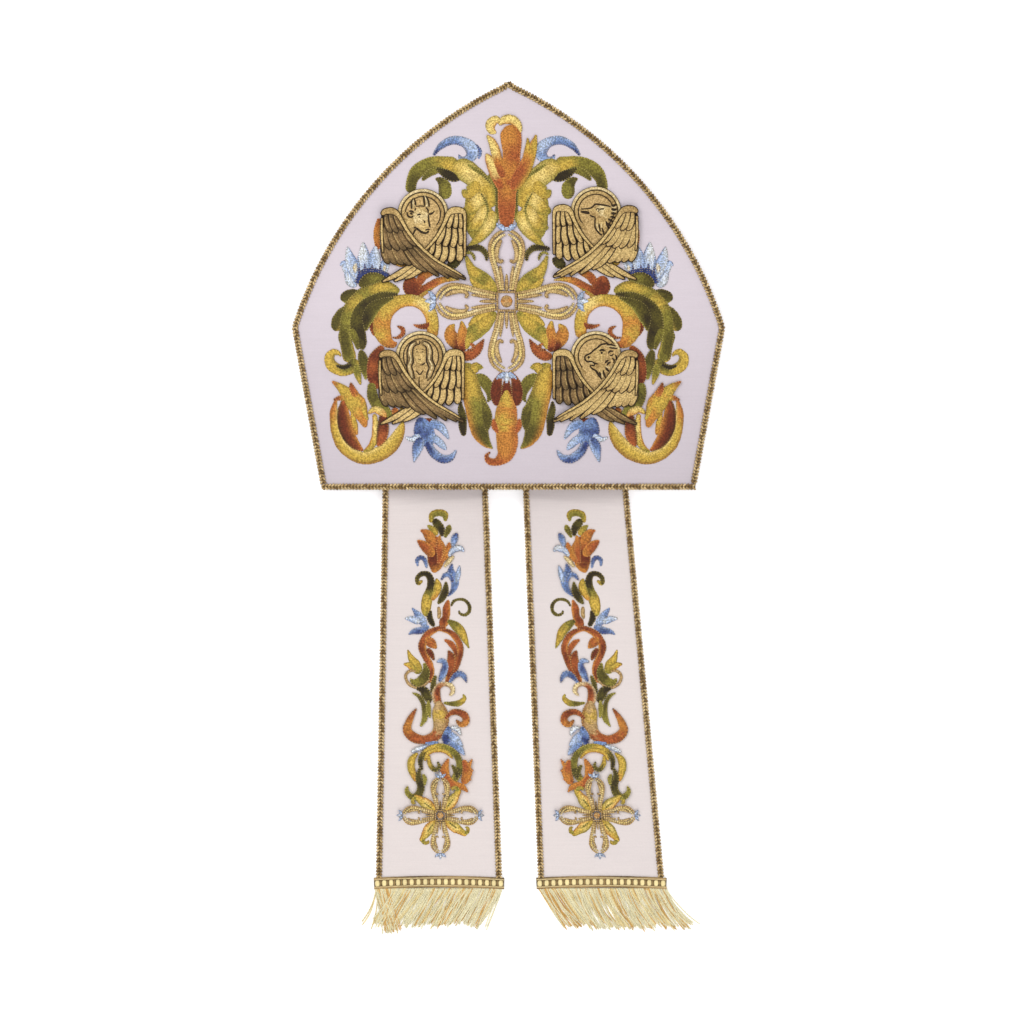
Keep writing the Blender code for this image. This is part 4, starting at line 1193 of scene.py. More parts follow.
LION_HIGHLIGHTS = (
    ((8, 7.9, .3), (12, 8, .5), (17, 7, .3)), ((6.8, -7.4, .3), (9.4, -8.6, .5), (12.4, -8.4, .3)),
    ((4.2, -11.6, .3), (5, -15, .5), (6.2, -17.6, .3)), ((12, -6.6, .3), (12.6, -10, .5), (11, -14, .3)),
    ((-5.6, -5.2, .3), (-3, -5.2, .45), (-1.9, -6.4, .3)),
)
MAN_FILLS = (
    ("nhn", ((-1, -5, 2.6), (-1, -10, 2.8), (-1, -15, 3.4), (-1, -20, 4.4))),
    ("mhmhm", ((-3, 11.4, 1.6), (-7.6, 8, 2.4), (-9.2, 2, 2.4), (-8.6, -4, 2.4), (-9.4, -10, 2.6),
        (-7.6, -16, 1.6), (-6, -20, .6))),
    ("mhmhm", ((0, 11.6, 1.6), (5, 9, 2.4), (7.2, 3, 2.4), (6.8, -3, 2.4), (8.8, -9, 2.4), (7, -15, 1.6),
        (5, -20, .6))),
    ("np", ((-1, 9.6, 3.6), (-1, 4, 4.9), (-1, -1.6, 4.3), (-1, -6, 2.2))),
)
MAN_LINES = (
    ((-3.4, 12.6, .3), (-8.4, 10, .45), (-10.9, 4, .45), (-11, -2, .45), (-11.2, -9, .45), (-9.6, -15, .4),
     (-7.6, -20, .3)),
    ((-3.2, 9.6, .3), (-6.2, 7, .45), (-6.6, 1, .4), (-6, -4, .45), (-7.4, -8, .45), (-6, -13, .45),
     (-5, -18, .3)),
    ((.4, 12.6, .3), (6, 10.6, .45), (9, 4.6, .45), (9, -2, .45), (11, -8, .45), (9.6, -13, .4),
     (7.6, -18, .3)),
    ((1.2, 9.6, .3), (4.2, 7, .45), (4.6, 1, .4), (4.4, -4, .45), (6.4, -9, .45), (5, -13, .45),
     (4, -18, .3)), ((-1.2, 12.6, .3), (-1, 10.4, .4), (-3.2, 9, .3)),
    ((-2, -6.6, .3), (1, -6.8, .4), (3.6, -4.6, .3)), ((-4.4, 3.1, .25), (-3.1, 3.7, .4), (-1.9, 3.1, .25)),
    ((-.1, 3.1, .25), (1.1, 3.7, .4), (2.4, 3.1, .25)), ((-4.6, 5, .25), (-3.1, 5.7, .35), (-1.7, 5.1, .25)),
    ((-.3, 5.1, .25), (1.1, 5.7, .35), (2.6, 5, .25)), ((-1, 3.4, .2), (-1.3, .6, .3), (-.4, 0, .3)),
    ((-2.5, -2.3, .25), (-1, -2.7, .4), (.5, -2.3, .25)), ((-4, -11, .3), (-1, -14.4, .5), (2, -11, .3)),
    ((-1, -15, .3), (-1.6, -20, .4), (-1.2, -25, .3)),
)
MAN_HIGHLIGHTS = (
    ((-4.4, 11, .4), (-8, 8.4, .6), (-9.2, 3, .6), (-8, -2.4, .6), (-9.6, -7.6, .6), (-8, -12.6, .5),
     (-7, -17.6, .4)),
    ((1.8, 11, .4), (5.8, 8.8, .6), (7.2, 3.6, .6), (6.4, -2, .6), (8.8, -7.4, .6), (7.4, -12, .5),
     (6, -17, .4)),
)
BADGE_HEADS = {
    "ox": (OX_FILLS, OX_LINES, OX_HIGHLIGHTS), "eagle": (EAGLE_FILLS, EAGLE_LINES, EAGLE_HIGHLIGHTS),
    "man": (MAN_FILLS, MAN_LINES, MAN_HIGHLIGHTS), "lion": (LION_FILLS, LION_LINES, LION_HIGHLIGHTS),
}
# On every badge but the eagle's, the wing to the left is painted in shade: its gold feathers take dark
# colours.
LIGHT_BADGES = ("eagle",)
# Feather colours: the thread's own pale gold, and the dark colours of painted shade
LIGHT_FEATHER, PAINTED_SHADE_FEATHER = "nppn", "mxm"


def hoop(radius, half_width, first_deg, last_deg, parts=40):
    """Points of an arc round the halo's centre."""
    angles = [math.radians(first_deg + (last_deg - first_deg) * k / parts) for k in range(parts + 1)]
    return [(radius * math.cos(a), radius * math.sin(a), half_width) for a in angles]


def wider(points, extra):
    """The same strip, wider on both sides and a little longer at both ends."""
    (ax, ay, _), (bx, by, _) = points[0], points[1]
    (cx, cy, _), (dx, dy, _) = points[-1], points[-2]
    head, tail = extra / math.dist((ax, ay), (bx, by)), extra / math.dist((cx, cy), (dx, dy))
    line = [(x, y, width + extra) for x, y, width in points]
    line[0] = (ax + (ax - bx) * head, ay + (ay - by) * head, line[0][2])
    line[-1] = (cx + (cx - dx) * tail, cy + (cy - dy) * tail, line[-1][2])
    return line


def feather_shape(points):
    """A feather as it is sewn: a little wider, and tucked further under the row above it."""
    (ax, ay, width), (bx, by, _) = points[0], points[1]
    lead = FEATHER_LEAD / math.dist((ax, ay), (bx, by))
    line = [(x, y, half * FEATHER_GROWTH) for x, y, half in points]
    return [(ax + (ax - bx) * lead, ay + (ay - by) * lead, width)] + line


def sheen_line(feather):
    """The painted sheen along a feather in painted shade: a pale line a little off its middle."""
    return [(x + SHEEN_OUT * width, y + SHEEN_UP * width, SHEEN_WIDTH) for x, y, width in feather[:-1]]


def work_badge(name, centre, seed):
    """One badge, from its dark pads up to the lines of the head."""
    side = -1 if centre[0] > 0 else 1
    work = Needlework(front_top, lambda x, y: (centre[0] + x, centre[1] + y), seed=seed, step=BADGE_STEP)
    work.levels = dict(front_work.levels)

    def mirrored(points):
        return [(side * point[0], *point[1:]) for point in points]

    def disc(radius, letters, rise, layer):
        across = [(x, 0, radius) for x in (-radius, 0, radius)]
        work.strip(across, letters, rise=rise, layer=layer, ragged=0.0, edge=0.0)

    def corded(points, letters, layer, rise=FEATHER_RISE):
        work.strip(wider(points, OUTLINE_WIDTH), "d", "d", "d", rise=OUTLINE_RISE, layer=layer, ragged=0.1)
        work.strip(points, letters, rise=rise, layer=layer, ragged=0.06, edge=0.5)

    layer = work.layer_over([(centre[0] + x, centre[1] + y) for x in BADGE_COLUMNS for y in BADGE_ROWS])
    disc(HALO_RADIUS, "dd", PAD_HEIGHT, layer)
    for pad in (FRONT_WING_PAD, BACK_WING_PAD):
        work.strip(mirrored(pad), "dd", "d", "d", rise=PAD_HEIGHT, layer=layer, ragged=0.0)
    layer += round(PAD_HEIGHT / LAYER_RISE)
    disc(FIELD_RADIUS, "hh", FIELD_RISE, layer)
    work.strip(mirrored(FIELD_TAIL), "hh", "h", "h", rise=FIELD_RISE, layer=layer, ragged=0.0)
    for radius, half_width, first_deg, last_deg, letters, rise in HALO_RINGS:
        ring = hoop(radius, half_width, first_deg, last_deg)
        work.strip(ring, letters, rise=rise, layer=layer, ragged=0.05)
    fills, lines, lights = BADGE_HEADS[name]
    for letters, points in fills:
        work.strip(points, letters, rise=FILL_RISE, layer=layer + FILL_LAYER, ragged=0.08, edge=0.3)
    for points in lines:
        bold = [(x, y, LINE_GROWTH * width) for x, y, width in points]
        work.strip(bold, "d", "d", "d", rise=LINE_RISE, layer=layer + LINE_LAYER, ragged=0.05)
    # Painted highlights: pale strips beside the dark lines
    for points in lights:
        work.strip(points, "ss", rise=HIGHLIGHT_RISE, layer=layer + LINE_LAYER, ragged=0.05)
    wings = (("back", BACK_WING_ROWS, BACK_WING_RIBS), ("front", FRONT_WING_ROWS, FRONT_WING_RIBS))
    for wing, feather_rows, ribs in wings:
        # The wing to the left is painted in shade on all but the eagle's badge
        dark = name not in LIGHT_BADGES and (wing == "front") == (side == 1)
        start = layer + WING_LAYERS[wing]
        for row, feathers in enumerate(feather_rows):
            row_layer = start + ROW_LAYERS * row
            for place, feather in enumerate(feathers):
                under = row == 0 and wing == "back"
                level = layer - 1 + 2 * place if under else row_layer + place % 2
                corded(mirrored(feather_shape(feather)), PAINTED_SHADE_FEATHER if dark else LIGHT_FEATHER, level)
                if dark:
                    # A painted sheen along the shaded feather
                    sheen = mirrored(sheen_line(feather))
                    work.strip(sheen, "np", rise=SHEEN_RISE, layer=row_layer + SHEEN_LAYER, ragged=0.1)
        for rib in ribs:
            corded(mirrored(rib), "nnpppppppn", start + ROW_LAYERS * len(feather_rows), rise=RIB_RISE)
    return work


badge_thread = thread_finish("badge_gold_thread", 0.2, 0.42, 0.12, 0.7)
for seed, (name, centre) in enumerate(BADGE_PLACES.items(), start=41):
    badge = work_badge(name, centre, seed).sew("gold_badge_" + name, badge_thread)
    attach(badge, "root")
    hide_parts("badge_" + name)

# Lappets
# Two flat strips of cream silk that hang from the back of the rim. They come out between the boards, drop to
# the surface, and widen towards their fringed ends.
LAPPET_TOP_WIDTH = 83.0
LAPPET_END_WIDTH = 100.0
LAPPET_LENGTH = 320.0
LAPPET_THICKNESS = 1.8
LAPPET_TUCK = 25.0
DROP_START = 6.0
DROP_END = 26.0
LAPPET_COLUMNS = 36
LAPPET_RIB_PITCH = 0.7
LAPPET_STEP = 2.5
TUCK_STEP = 5.0
LAPPET_WAVE = 0.9
WAVE_ACROSS = 60
WAVE_ALONG = 38
CALM_AT_RIM = 30
CALM_AT_END = 40
CALM_FRINGE = 14
CREASE_HEIGHT = 0.7
CREASE_PLACE = -11.0
CREASE_SLOPE = 0.1
CREASE_WIDTH = 1.8
LAPPET_SIDES = (
    # name, side, distance of its middle line from the mitre's at the rim, tilt_deg, shift of its embroidery
    ("left", -1, 0.1965 * RIM_WIDTH, -0.55, 0.0),
    ("right", 1, 0.18 * RIM_WIDTH, 3.75, -1.5),
)


def smoothstep(share):
    share = min(max(share, 0.0), 1.0)
    return share * share * (3 - 2 * share)


def lappet_wave(x, y):
    """The low waves of the cloth, which die out at the rim and at the fringe, and a crease below the rim."""
    fade = smoothstep((-y - DROP_END) / CALM_AT_RIM)
    fade *= smoothstep((LAPPET_LENGTH + y - CALM_FRINGE) / CALM_AT_END)
    crease = CREASE_HEIGHT * math.exp(-(((y - CREASE_PLACE - CREASE_SLOPE * x) / CREASE_WIDTH) ** 2))
    wave = 0.5 + 0.5 * noise.noise(Vector((x / WAVE_ACROSS, y / WAVE_ALONG, 4.2)))
    return LAPPET_WAVE * fade * wave + crease


def lappet_underside(x, y):
    return FRONT_SEAT * (1 - smoothstep((-y - DROP_START) / (DROP_END - DROP_START))) + lappet_wave(x, y)


def lappet_top(x, y):
    return lappet_underside(x, y) + LAPPET_THICKNESS


def lappet_half_width(y):
    return (LAPPET_TOP_WIDTH + (LAPPET_END_WIDTH - LAPPET_TOP_WIDTH) * max(-y, 0) / LAPPET_LENGTH) / 2


def lappet_maps(side, root, tilt):
    """Two functions, from a lappet's own place (outer edge at the left) to the mitre's, and back."""
    lean = math.tan(math.radians(tilt))

    def spot(x, y):
        return side * (root - x - lean * y), y

    def own(x, y):
        return root - side * x - lean * y, y

    return spot, own


lappet_silk = ribbed_silk("lappet_silk", paint(228, 217, 213), paint(217, 207, 206), LAPPET_RIB_PITCH)
lappet_heights = [LAPPET_TUCK - TUCK_STEP * k for k in range(round(LAPPET_TUCK / TUCK_STEP) + 1)]
lappet_heights += [-LAPPET_STEP * k for k in range(1, round(LAPPET_LENGTH / LAPPET_STEP) + 1)]
lappet_places = {name: lappet_maps(side, root, tilt) for name, side, root, tilt, _ in LAPPET_SIDES}
lappet_cloths = {}
for name, (spot, _) in lappet_places.items():
    cloth = slab(
        "lappet_cloth_" + name, lappet_heights, lappet_half_width, lappet_underside, lappet_top,
        LAPPET_COLUMNS, lappet_silk, spot,
    )
    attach(cloth, "root")
    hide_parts("lappet_" + name)
    lappet_cloths[name] = cloth

# Lappet embroidery
# The same silk stitching in a narrow climbing design, with a small copy of the cross at its foot. It is drawn
# on the left lappet and mirrored on the right one.
LAPPET_STRIPS = (
    # Top curl and tulip
    ("ygggg", "y", "G", ((-62, -27, 1.4), (-61, -21, 2.6), (-56, -19, 2.8), (-51, -20.5, 2.8),
        (-50.5, -26, 1))),
    ("kGkk", "-", "-", ((-60, -24, 2.4), (-57, -28, 3.4), (-54, -32, 3), (-53, -38, 1))),
    ("gy", "-", "G", ((-65, -29, .6), (-61, -32, 2.4), (-57, -37, 2.4))),
    ("gGg", "-", "-", ((-47, -28.5, .8), (-48, -32, 2.4), (-51, -39, 1))),
    ("rrRRo", "o", "R", ((-57.5, -38, 3.4), (-58, -46, 7.6), (-58, -54, 7), (-58.5, -61, 5.6),
        (-60, -67, 1.6))),
    ("ror", "o", "R", ((-70.5, -33, .6), (-66, -35, 3), (-62, -40, 4.4), (-59.5, -47, 4))),
    ("rro", "o", "R", ((-73, -41, .6), (-69, -44, 3.2), (-64, -48.5, 4.2), (-60, -54, 3))),
    ("orr", "-", "R", ((-55, -37, .8), (-55.5, -44, 2.6), (-55, -52, 2.6), (-56, -60, 1))),
    ("ror", "-", "-", ((-47.3, -42.5, .6), (-48, -47, 2.5), (-50, -53, 2.5), (-54, -59, 1.6))),
    ("ss", "-", "t", ((-43.5, -53.5, .5), (-47, -57, 1.9), (-51.5, -62.5, 1))),
    ("Bbl", "-", "-", ((-41, -35, .7), (-43, -39.5, 2.8), (-44.5, -46, 1))),
    ("wlwl", "-", "b", ((-48, -54, .8), (-44.5, -49, 2.3), (-39, -47.3, 2.4), (-35.5, -50, .6))),
    # Blue leaf and small curls
    ("BbB", "b", "-", ((-45, -59.5, .6), (-46, -66, 3), (-43, -73, 3.4), (-44, -80, 2.4), (-48.5, -86, .6))),
    ("lll", "-", "b", ((-39, -61, .5), (-40.3, -68, 2.2), (-42, -75, 1.6))),
    ("BbB", "-", "-", ((-54, -73, .6), (-51, -69, 1.9), (-47, -69, 2), (-44.5, -75, 1.2))),
    ("bBb", "-", "-", ((-72.5, -62, .6), (-73, -57, 1.8), (-70, -54.8, 1.8), (-67, -57, 1.8),
        (-65.3, -63.5, .8))),
    ("yGkkkkgyyg", "-", "-", ((-68.8, -73, .8), (-72, -75.6, 1.7), (-73, -71.5, 1.9), (-69.5, -68, 2),
        (-64.5, -68.5, 2.4), (-62, -74, 3), (-63, -81, 3.2), (-65, -88, 4.3), (-66, -95, 4), (-66, -102, 2))),
    ("yyo", "-", "g", ((-57.8, -71.5, .8), (-56.5, -77, 3), (-58, -83, 3), (-61.5, -89, 1.4))),
    ("GkG", "-", "-", ((-50, -74, .6), (-50.5, -81, 2.8), (-53, -87, 2.8), (-56.5, -92, .8))),
    ("kGGkGGk", "-", "-", ((-46, -94, .8), (-44, -90, 1.2), (-40, -88.3, 1.2), (-35, -89, 1.3),
        (-31.5, -93, 1.4), (-31.5, -98, 1.4), (-35, -100.8, 1.3), (-39, -99.5, 1), (-39.5, -97, .6))),
    ("rrRr", "o", "R", ((-48, -88.5, .8), (-49.5, -95, 3), (-50, -102, 3.1), (-52, -107, 4), (-55, -110, 2))),
    ("tt", "-", "-", ((-56, -94, 1), (-55.3, -99.5, 1.7), (-56, -104, .8))),
    ("kkk", "-", "-", ((-62, -97, .8), (-63, -103, 2.5), (-59.5, -110, 1.6))),
    ("bblb", "l", "B", ((-77.3, -95, .5), (-73, -100, 2.6), (-69, -105.5, 3.4), (-66, -110, 2))),
    ("wlw", "-", "b", ((-83, -103.5, .6), (-77, -104, 2.6), (-71, -107, 2.4))),
    ("bBb", "l", "B", ((-80, -116.5, .6), (-76, -114, 2), (-70, -113, 3), (-63.5, -109.5, 1.5))),
    ("Ggyyg", "-", "G", ((-49, -105, 1.2), (-43, -109, 3.5), (-38, -114, 3.6), (-35, -120, 2.6),
        (-31.5, -127.5, .5))),
    # Brown ovals that face each other
    ("rRrrRrrRr", "o", "R", ((-50, -110.5, 1.4), (-58, -112.3, 2.2), (-65, -116.8, 2.8), (-69, -125, 3.1),
        (-67, -133, 2.8), (-63, -140, 2.5), (-61.5, -147, 2.2), (-63.5, -155, 1.2))),
    ("rRrrRrrR", "R", "o", ((-56, -112.5, .8), (-48, -114, 2), (-42, -119, 2.5), (-38.5, -127, 2.6),
        (-40, -135, 2.9), (-44, -143, 3.8), (-48, -151, 2.4), (-50, -155, .8))),
    ("oro", "-", "R", ((-66.5, -119, 2), (-62, -123, 3.8), (-57.5, -127.5, .8))),
    ("RR", "-", "-", ((-65.5, -127.5, 1.6), (-62, -132, 2.4), (-59.5, -137, .8))),
    ("rrR", "-", "-", ((-51.5, -120.5, .6), (-47, -123, 2.2), (-43, -128, 2.2), (-41.5, -134.5, 1))),
    ("RrR", "-", "-", ((-48.3, -129, .8), (-46, -134, 2.9), (-46, -142, 3.4), (-48.5, -151, 1.6))),
    ("yyg", "-", "g", ((-80.7, -128.5, .5), (-78, -135, 2.5), (-74, -141, 4), (-71.5, -148, 3))),
    ("yyg", "-", "o", ((-84, -140, .6), (-79, -141, 2.5), (-74, -145, 2.6))),
    ("gGGgg", "G", "-", ((-67.5, -139, .8), (-66, -147, 3.5), (-70, -154, 4.4), (-76, -154.3, 2.4),
        (-78.5, -151.5, .8))),
    ("ttttttt", "-", "-", ((-62.5, -152, .8), (-68, -157.3, 1), (-74, -159, 1), (-80, -155.5, 1.2),
        (-82.3, -149.5, 1.2), (-79, -145.5, 1.1), (-74, -146, .6))),
    ("kkGk", "-", "-", ((-74, -159.5, .7), (-68, -161, 3.4), (-65, -166, 3.5), (-62.5, -171, 1.6))),
    ("GGk", "-", "-", ((-58, -149, .8), (-60, -155, 2), (-61.5, -163, 1.2))),
    ("lbBbB", "l", "B", ((-57.5, -138.5, .8), (-53, -137.3, 2), (-50.5, -141, 2.5), (-52, -147, 3),
        (-55.5, -154, 1))),
    ("bBbB", "-", "-", ((-47.5, -155, .8), (-43, -149.5, 2.2), (-39, -147.8, 2.5), (-35.5, -150, 2),
        (-33.5, -155, .6))),
    # Sand spiral and green stems
    ("rrRrsss", "s", "R", ((-56, -173, 3.2), (-58, -164, 3.5), (-56, -158, 2.5), (-51, -156, 1.6),
        (-46, -157.5, 2), (-44.5, -162, 1.8), (-47.3, -165.3, .6))),
    ("gGgyg", "-", "-", ((-52, -171, .8), (-45, -171.8, 2), (-39, -171, 2.5), (-35.3, -167.3, 1.8),
        (-36.5, -164, .5))),
    ("gGGgg", "-", "-", ((-77, -163, .5), (-72, -165.5, 1.5), (-68.5, -171, 1.8), (-67, -178, 2.2),
        (-67.2, -184, 2.2), (-70.5, -190, .6))),
    ("ggg", "-", "-", ((-64, -169, 1), (-64, -176, 2), (-62.8, -183, .7))),
    ("ttyttrrrroorR", "R", "-", ((-56, -169, 2), (-55, -178, 6), (-54, -186, 6.2), (-56, -194, 5),
        (-60.5, -198.5, 4), (-68, -200.5, 3.5), (-76, -198.5, 4), (-81, -193, 3.5), (-79.5, -186, 2.8),
        (-76.5, -180, 1.8), (-73.5, -175.5, .5))),
    ("tyt", "-", "-", ((-53, -172, .6), (-51.5, -180, 1.4), (-52, -188, .6))),
    ("RrRroR", "-", "R", ((-51, -184, 1), (-46, -179.3, 2), (-41, -178.3, 2.5), (-35.3, -181, 2.9),
        (-34, -186, 2.8), (-38, -188.3, 2.3), (-42, -184.6, .8))),
    ("BbBB", "b", "-", ((-48, -189.5, 1), (-49, -198, 4.6), (-50.5, -204.5, 1.6))),
    ("bll", "l", "b", ((-47, -195, 2.4), (-42, -201, 3.5), (-36.5, -205.5, .6))),
    ("bbl", "l", "B", ((-47, -202.5, 2), (-40, -207, 3), (-35, -213, .5))),
    ("ww", "-", "b", ((-46.5, -190.5, .8), (-41, -192, 2), (-38, -197, .7))),
    ("bbb", "-", "-", ((-67, -203, .8), (-62, -203, 2), (-56, -203, 1.2))),
    ("wwl", "-", "b", ((-78, -210.3, .6), (-73, -208, 1.8), (-65, -205.3, 1.2))),
    # C scroll with a rust flower inside
    ("kkGyyggGgkgy", "-", "-", ((-69, -225, 1), (-70.5, -218, 2), (-68, -211.5, 2.1), (-62, -207, 2.1),
        (-55, -205.5, 2.1), (-47, -208, 2.3), (-41, -214, 2.6), (-39, -222, 2.9), (-42, -230, 3),
        (-47, -237, 1.6))),
    ("yyyyy", "-", "o", ((-67, -217.5, .8), (-64, -211, 1.7), (-57, -208.7, 1.8), (-50, -210.2, 1.5),
        (-44.5, -215.5, .8))),
    ("yyGGG", "-", "-", ((-64, -213, 1.1), (-63, -220, 1.8), (-59, -224.5, 1.8), (-55.5, -222, 1.4),
        (-56.8, -218, .7))),
    ("yyyo", "-", "g", ((-72.5, -211, .7), (-77, -216, 2.8), (-78, -222, 3), (-76, -229, 2.4),
        (-74.6, -234, .6))),
    ("kGkGGgg", "-", "-", ((-71, -223, .9), (-72, -231, 2.5), (-70, -238, 3), (-72, -244.3, 3),
        (-77, -246.3, 2.5), (-81.3, -242, 1.9), (-80.5, -237.5, .6))),
    ("gg", "-", "-", ((-68.5, -228, 1), (-66.8, -232, 1.6), (-67, -237, .7))),
    ("rorror", "o", "R", ((-48, -215.5, .8), (-51, -224, 3.5), (-50, -231, 3.6), (-45, -236.3, 3.5),
        (-37, -238.3, 2.5), (-32.5, -242.5, .5))),
    ("rror", "o", "R", ((-36, -216.5, 1.4), (-33, -226, 4), (-36, -236, 2.8))),
    ("or", "-", "-", ((-32, -222, 2), (-29, -216, .5))),
    ("or", "-", "-", ((-32, -228, 2), (-28, -224.5, .5))),
    ("or", "-", "-", ((-34, -233, 2), (-29.5, -232, .5))),
    ("GGk", "-", "-", ((-45.5, -220.5, .8), (-42, -226, 2.2), (-41, -232, .8))),
)
SMALL_CROSS_CENTRE = (-54.5, -261.0)
SMALL_CROSS_SCALE = 0.535
# From the small cross's centre, for the leaf at the lower right. The other three are turned copies of it.
SMALL_CROSS_LEAF = (
    ("yyYyy", "g", "o", ((2.5, -2.5, 1), (7, -6, 3.4), (11.5, -9.5, 4.2), (16, -12.5, 3), (21, -16, 1.6))),
    ("ggyg", "-", "-", ((19, -14.5, 1.4), (21.8, -13, 1.6), (21.8, -10, 1.3), (19.6, -9.6, .6))),
    ("Gg", "-", "-", ((4, -3.5, .5), (10, -8, .9), (16, -12.4, .5))),
)
LAPPET_WORK_STEP = 0.9
_, left_own = lappet_places["left"]
lappet_trims = {name: [] for name in lappet_places}
for seed, (name, side, _, _, shift) in enumerate(LAPPET_SIDES, start=51):
    spot, own = lappet_places[name]

    def drawn_spot(x, y, spot=spot, shift=shift):
        own_x, own_y = left_own(x, y)
        return spot(own_x + shift, own_y)

    lappet_work = Needlework(
        lambda x, y, own=own: lappet_top(*own(x, y)), drawn_spot, seed=seed, step=LAPPET_WORK_STEP
    )
    for along, left, right, points in LAPPET_STRIPS:
        edges = (left, right) if side < 0 else (right, left)
        lappet_work.strip(points, along, *edges)
    for quarter in range(4):
        leaf_turn = Matrix.Rotation(quarter * math.pi / 2, 2)
        for along, left, right, points in SMALL_CROSS_LEAF:
            placed = []
            for x, y, width in points:
                p = leaf_turn @ Vector((x, y))
                placed.append((SMALL_CROSS_CENTRE[0] + p.x, SMALL_CROSS_CENTRE[1] + p.y, width))
            lappet_work.strip(placed, along, left, right)
    sew_cross(lappet_work, SMALL_CROSS_CENTRE, SMALL_CROSS_SCALE)
    embroidery = lappet_work.sew("lappet_embroidery_" + name, silk_thread)
    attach(embroidery, "root")
    lappet_trims[name].append(embroidery)

# Gold braid of the lappets
# The same gimp braid along both long edges of each lappet, down to the heading of the fringe.
HEADING_HEIGHT = 9.0
LAPPET_BRAID_TOP = 0.5
LAPPET_BRAID_STEPS = 70
lappet_braid_end = HEADING_HEIGHT + FIT - LAPPET_LENGTH
braid_fall = lappet_braid_end - LAPPET_BRAID_TOP
for seed, (name, (spot, own)) in enumerate(lappet_places.items(), start=61):
    for edge_name, direction in (("outer", -1), ("inner", 1)):
        path = []
        for k in range(LAPPET_BRAID_STEPS + 1):
            y = LAPPET_BRAID_TOP + braid_fall * k / LAPPET_BRAID_STEPS
            path.append(spot(direction * (lappet_half_width(y) - BRAID_INSET), y))
        braid_work = Needlework(
            lambda x, y, own=own: lappet_top(*own(x, y)) + FIT, seed=seed + 10 * direction, step=BRAID_STEP
        )
        lay_braid(braid_work, path, 0.0, BRAID_THICKNESS)
        braid = braid_work.sew(f"lappet_{name}_{edge_name}_gimp", gold_braid)
        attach(braid, "root")
        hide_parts(f"lappet_{name}_{edge_name}_braid")
        lappet_trims[name].append(braid)

# Fringes
# A woven gold heading, with a ladder of pale beads of thread along it, and a thick fringe of twisted gold
# cords that lie fanned out on the surface.
HEADING_HALF_WIDTH = 52.0
HEADING_TOP = HEADING_HEIGHT - LAPPET_LENGTH
HEADING_BOTTOM = -LAPPET_LENGTH - FIT
HEADING_BOW = 1.5
HEADING_PARTS = 8
HEADING_STEP = 1.6
# Cords along the heading: distance below its top edge, colours, half width
HEADING_CORDS = ((0.5, "umum", 0.6), (1.5, "vsvs", 0.55), (7.5, "vsvs", 0.6), (8.5, "uxux", 0.6))
BEAD_PITCH = 5.4
BEAD_DROP = 4.6
BEAD_BASE = 0.4
BEAD_HEIGHT = 1.4
# Half length, half width and colour of a bead, and of the bar between two beads
BEAD, BEAD_BAR = (2.6, 2.15, "f"), (2.5, 0.4, "u")
# How many cords lie in each layer, how high, and how far they are shifted, as a share of their spacing
CORD_LAYERS = ((92, 0.5, 0.0), (98, 0.95, 0.35), (56, 1.35, 0.2))
CORD_SPREAD = 0.985
CORD_PLACE_JITTER = 0.3
CORD_LEAN_JITTER = 4.0
CORD_BEND_JITTER = 5.0
OCHRE_PART = 0.5
PALE_THREADS = "FFFFf"
CORD_HALF_WIDTH = 0.58
CORD_HALF_HEIGHT = 0.38
CORD_TWIST_PITCH = 5.0
CORD_STEP = 1.25
CORD_SIDES = 6
CORD_END_TAPER = 0.55
# Painted shade in the grooves of a twisted cord
CORD_GROOVE_PAINTED_SHADE = 0.84
CORD_FLOOR = 0.02
CORD_FALL = 9.0
CORD_LIFT = 0.2
CORD_LIFT_SPAN = 4
CORD_WAVE_DEG = 2.0
CORD_WAVE_SPAN = 5
# Where a cord starts behind the heading: how far above its lower edge, and how high over the cloth
CORD_ROOT_TUCK = 1.2
CORD_ROOT_LIFT = 0.2
# How the cords lie at places across each fringe, from its outer end to its inner end
FRINGE_SHAPES = {
    "left": (
        # share of the width, lean_deg, added bend_deg, length, share of ochre cords
        (0.0, -14, -4, 37, 0.6), (0.10, -12, -2, 36, 0.5), (0.15, 30, 2, 34, 0.15), (0.45, 31, 2, 36, 0.15),
        (0.8, 26, 4, 33, 0.35), (1.0, 20, 12, 36, 0.4),
    ),
    "right": (
        (0.0, 22, 26, 38, 0.4), (0.35, 18, 18, 36, 0.25), (0.65, 14, 22, 36, 0.2), (0.82, 26, 14, 36, 0.4),
        (1.0, 24, 16, 38, 0.8),
    ),
}
# Cords that stray from the outer end of the left fringe: place, lean_deg, bend_deg, length
STRAY_CORDS = {
    "left": ((-50.5, 4, 36, 33), (-49, 2, 16, 34), (-50, 12, 26, 31), (-46, -8, 6, 34)),
    "right": (),
}
STRAY_HEIGHT = 0.5


def lie_of_cord(shape, share):
    """The lean, bend, length and share of ochre at one place across a fringe."""
    for first, second in zip(shape, shape[1:]):
        if share <= second[0]:
            part = min(max((share - first[0]) / (second[0] - first[0]), 0.0), 1.0)
            return [a + (b - a) * part for a, b in zip(first[1:], second[1:])]
    return list(shape[-1][1:])


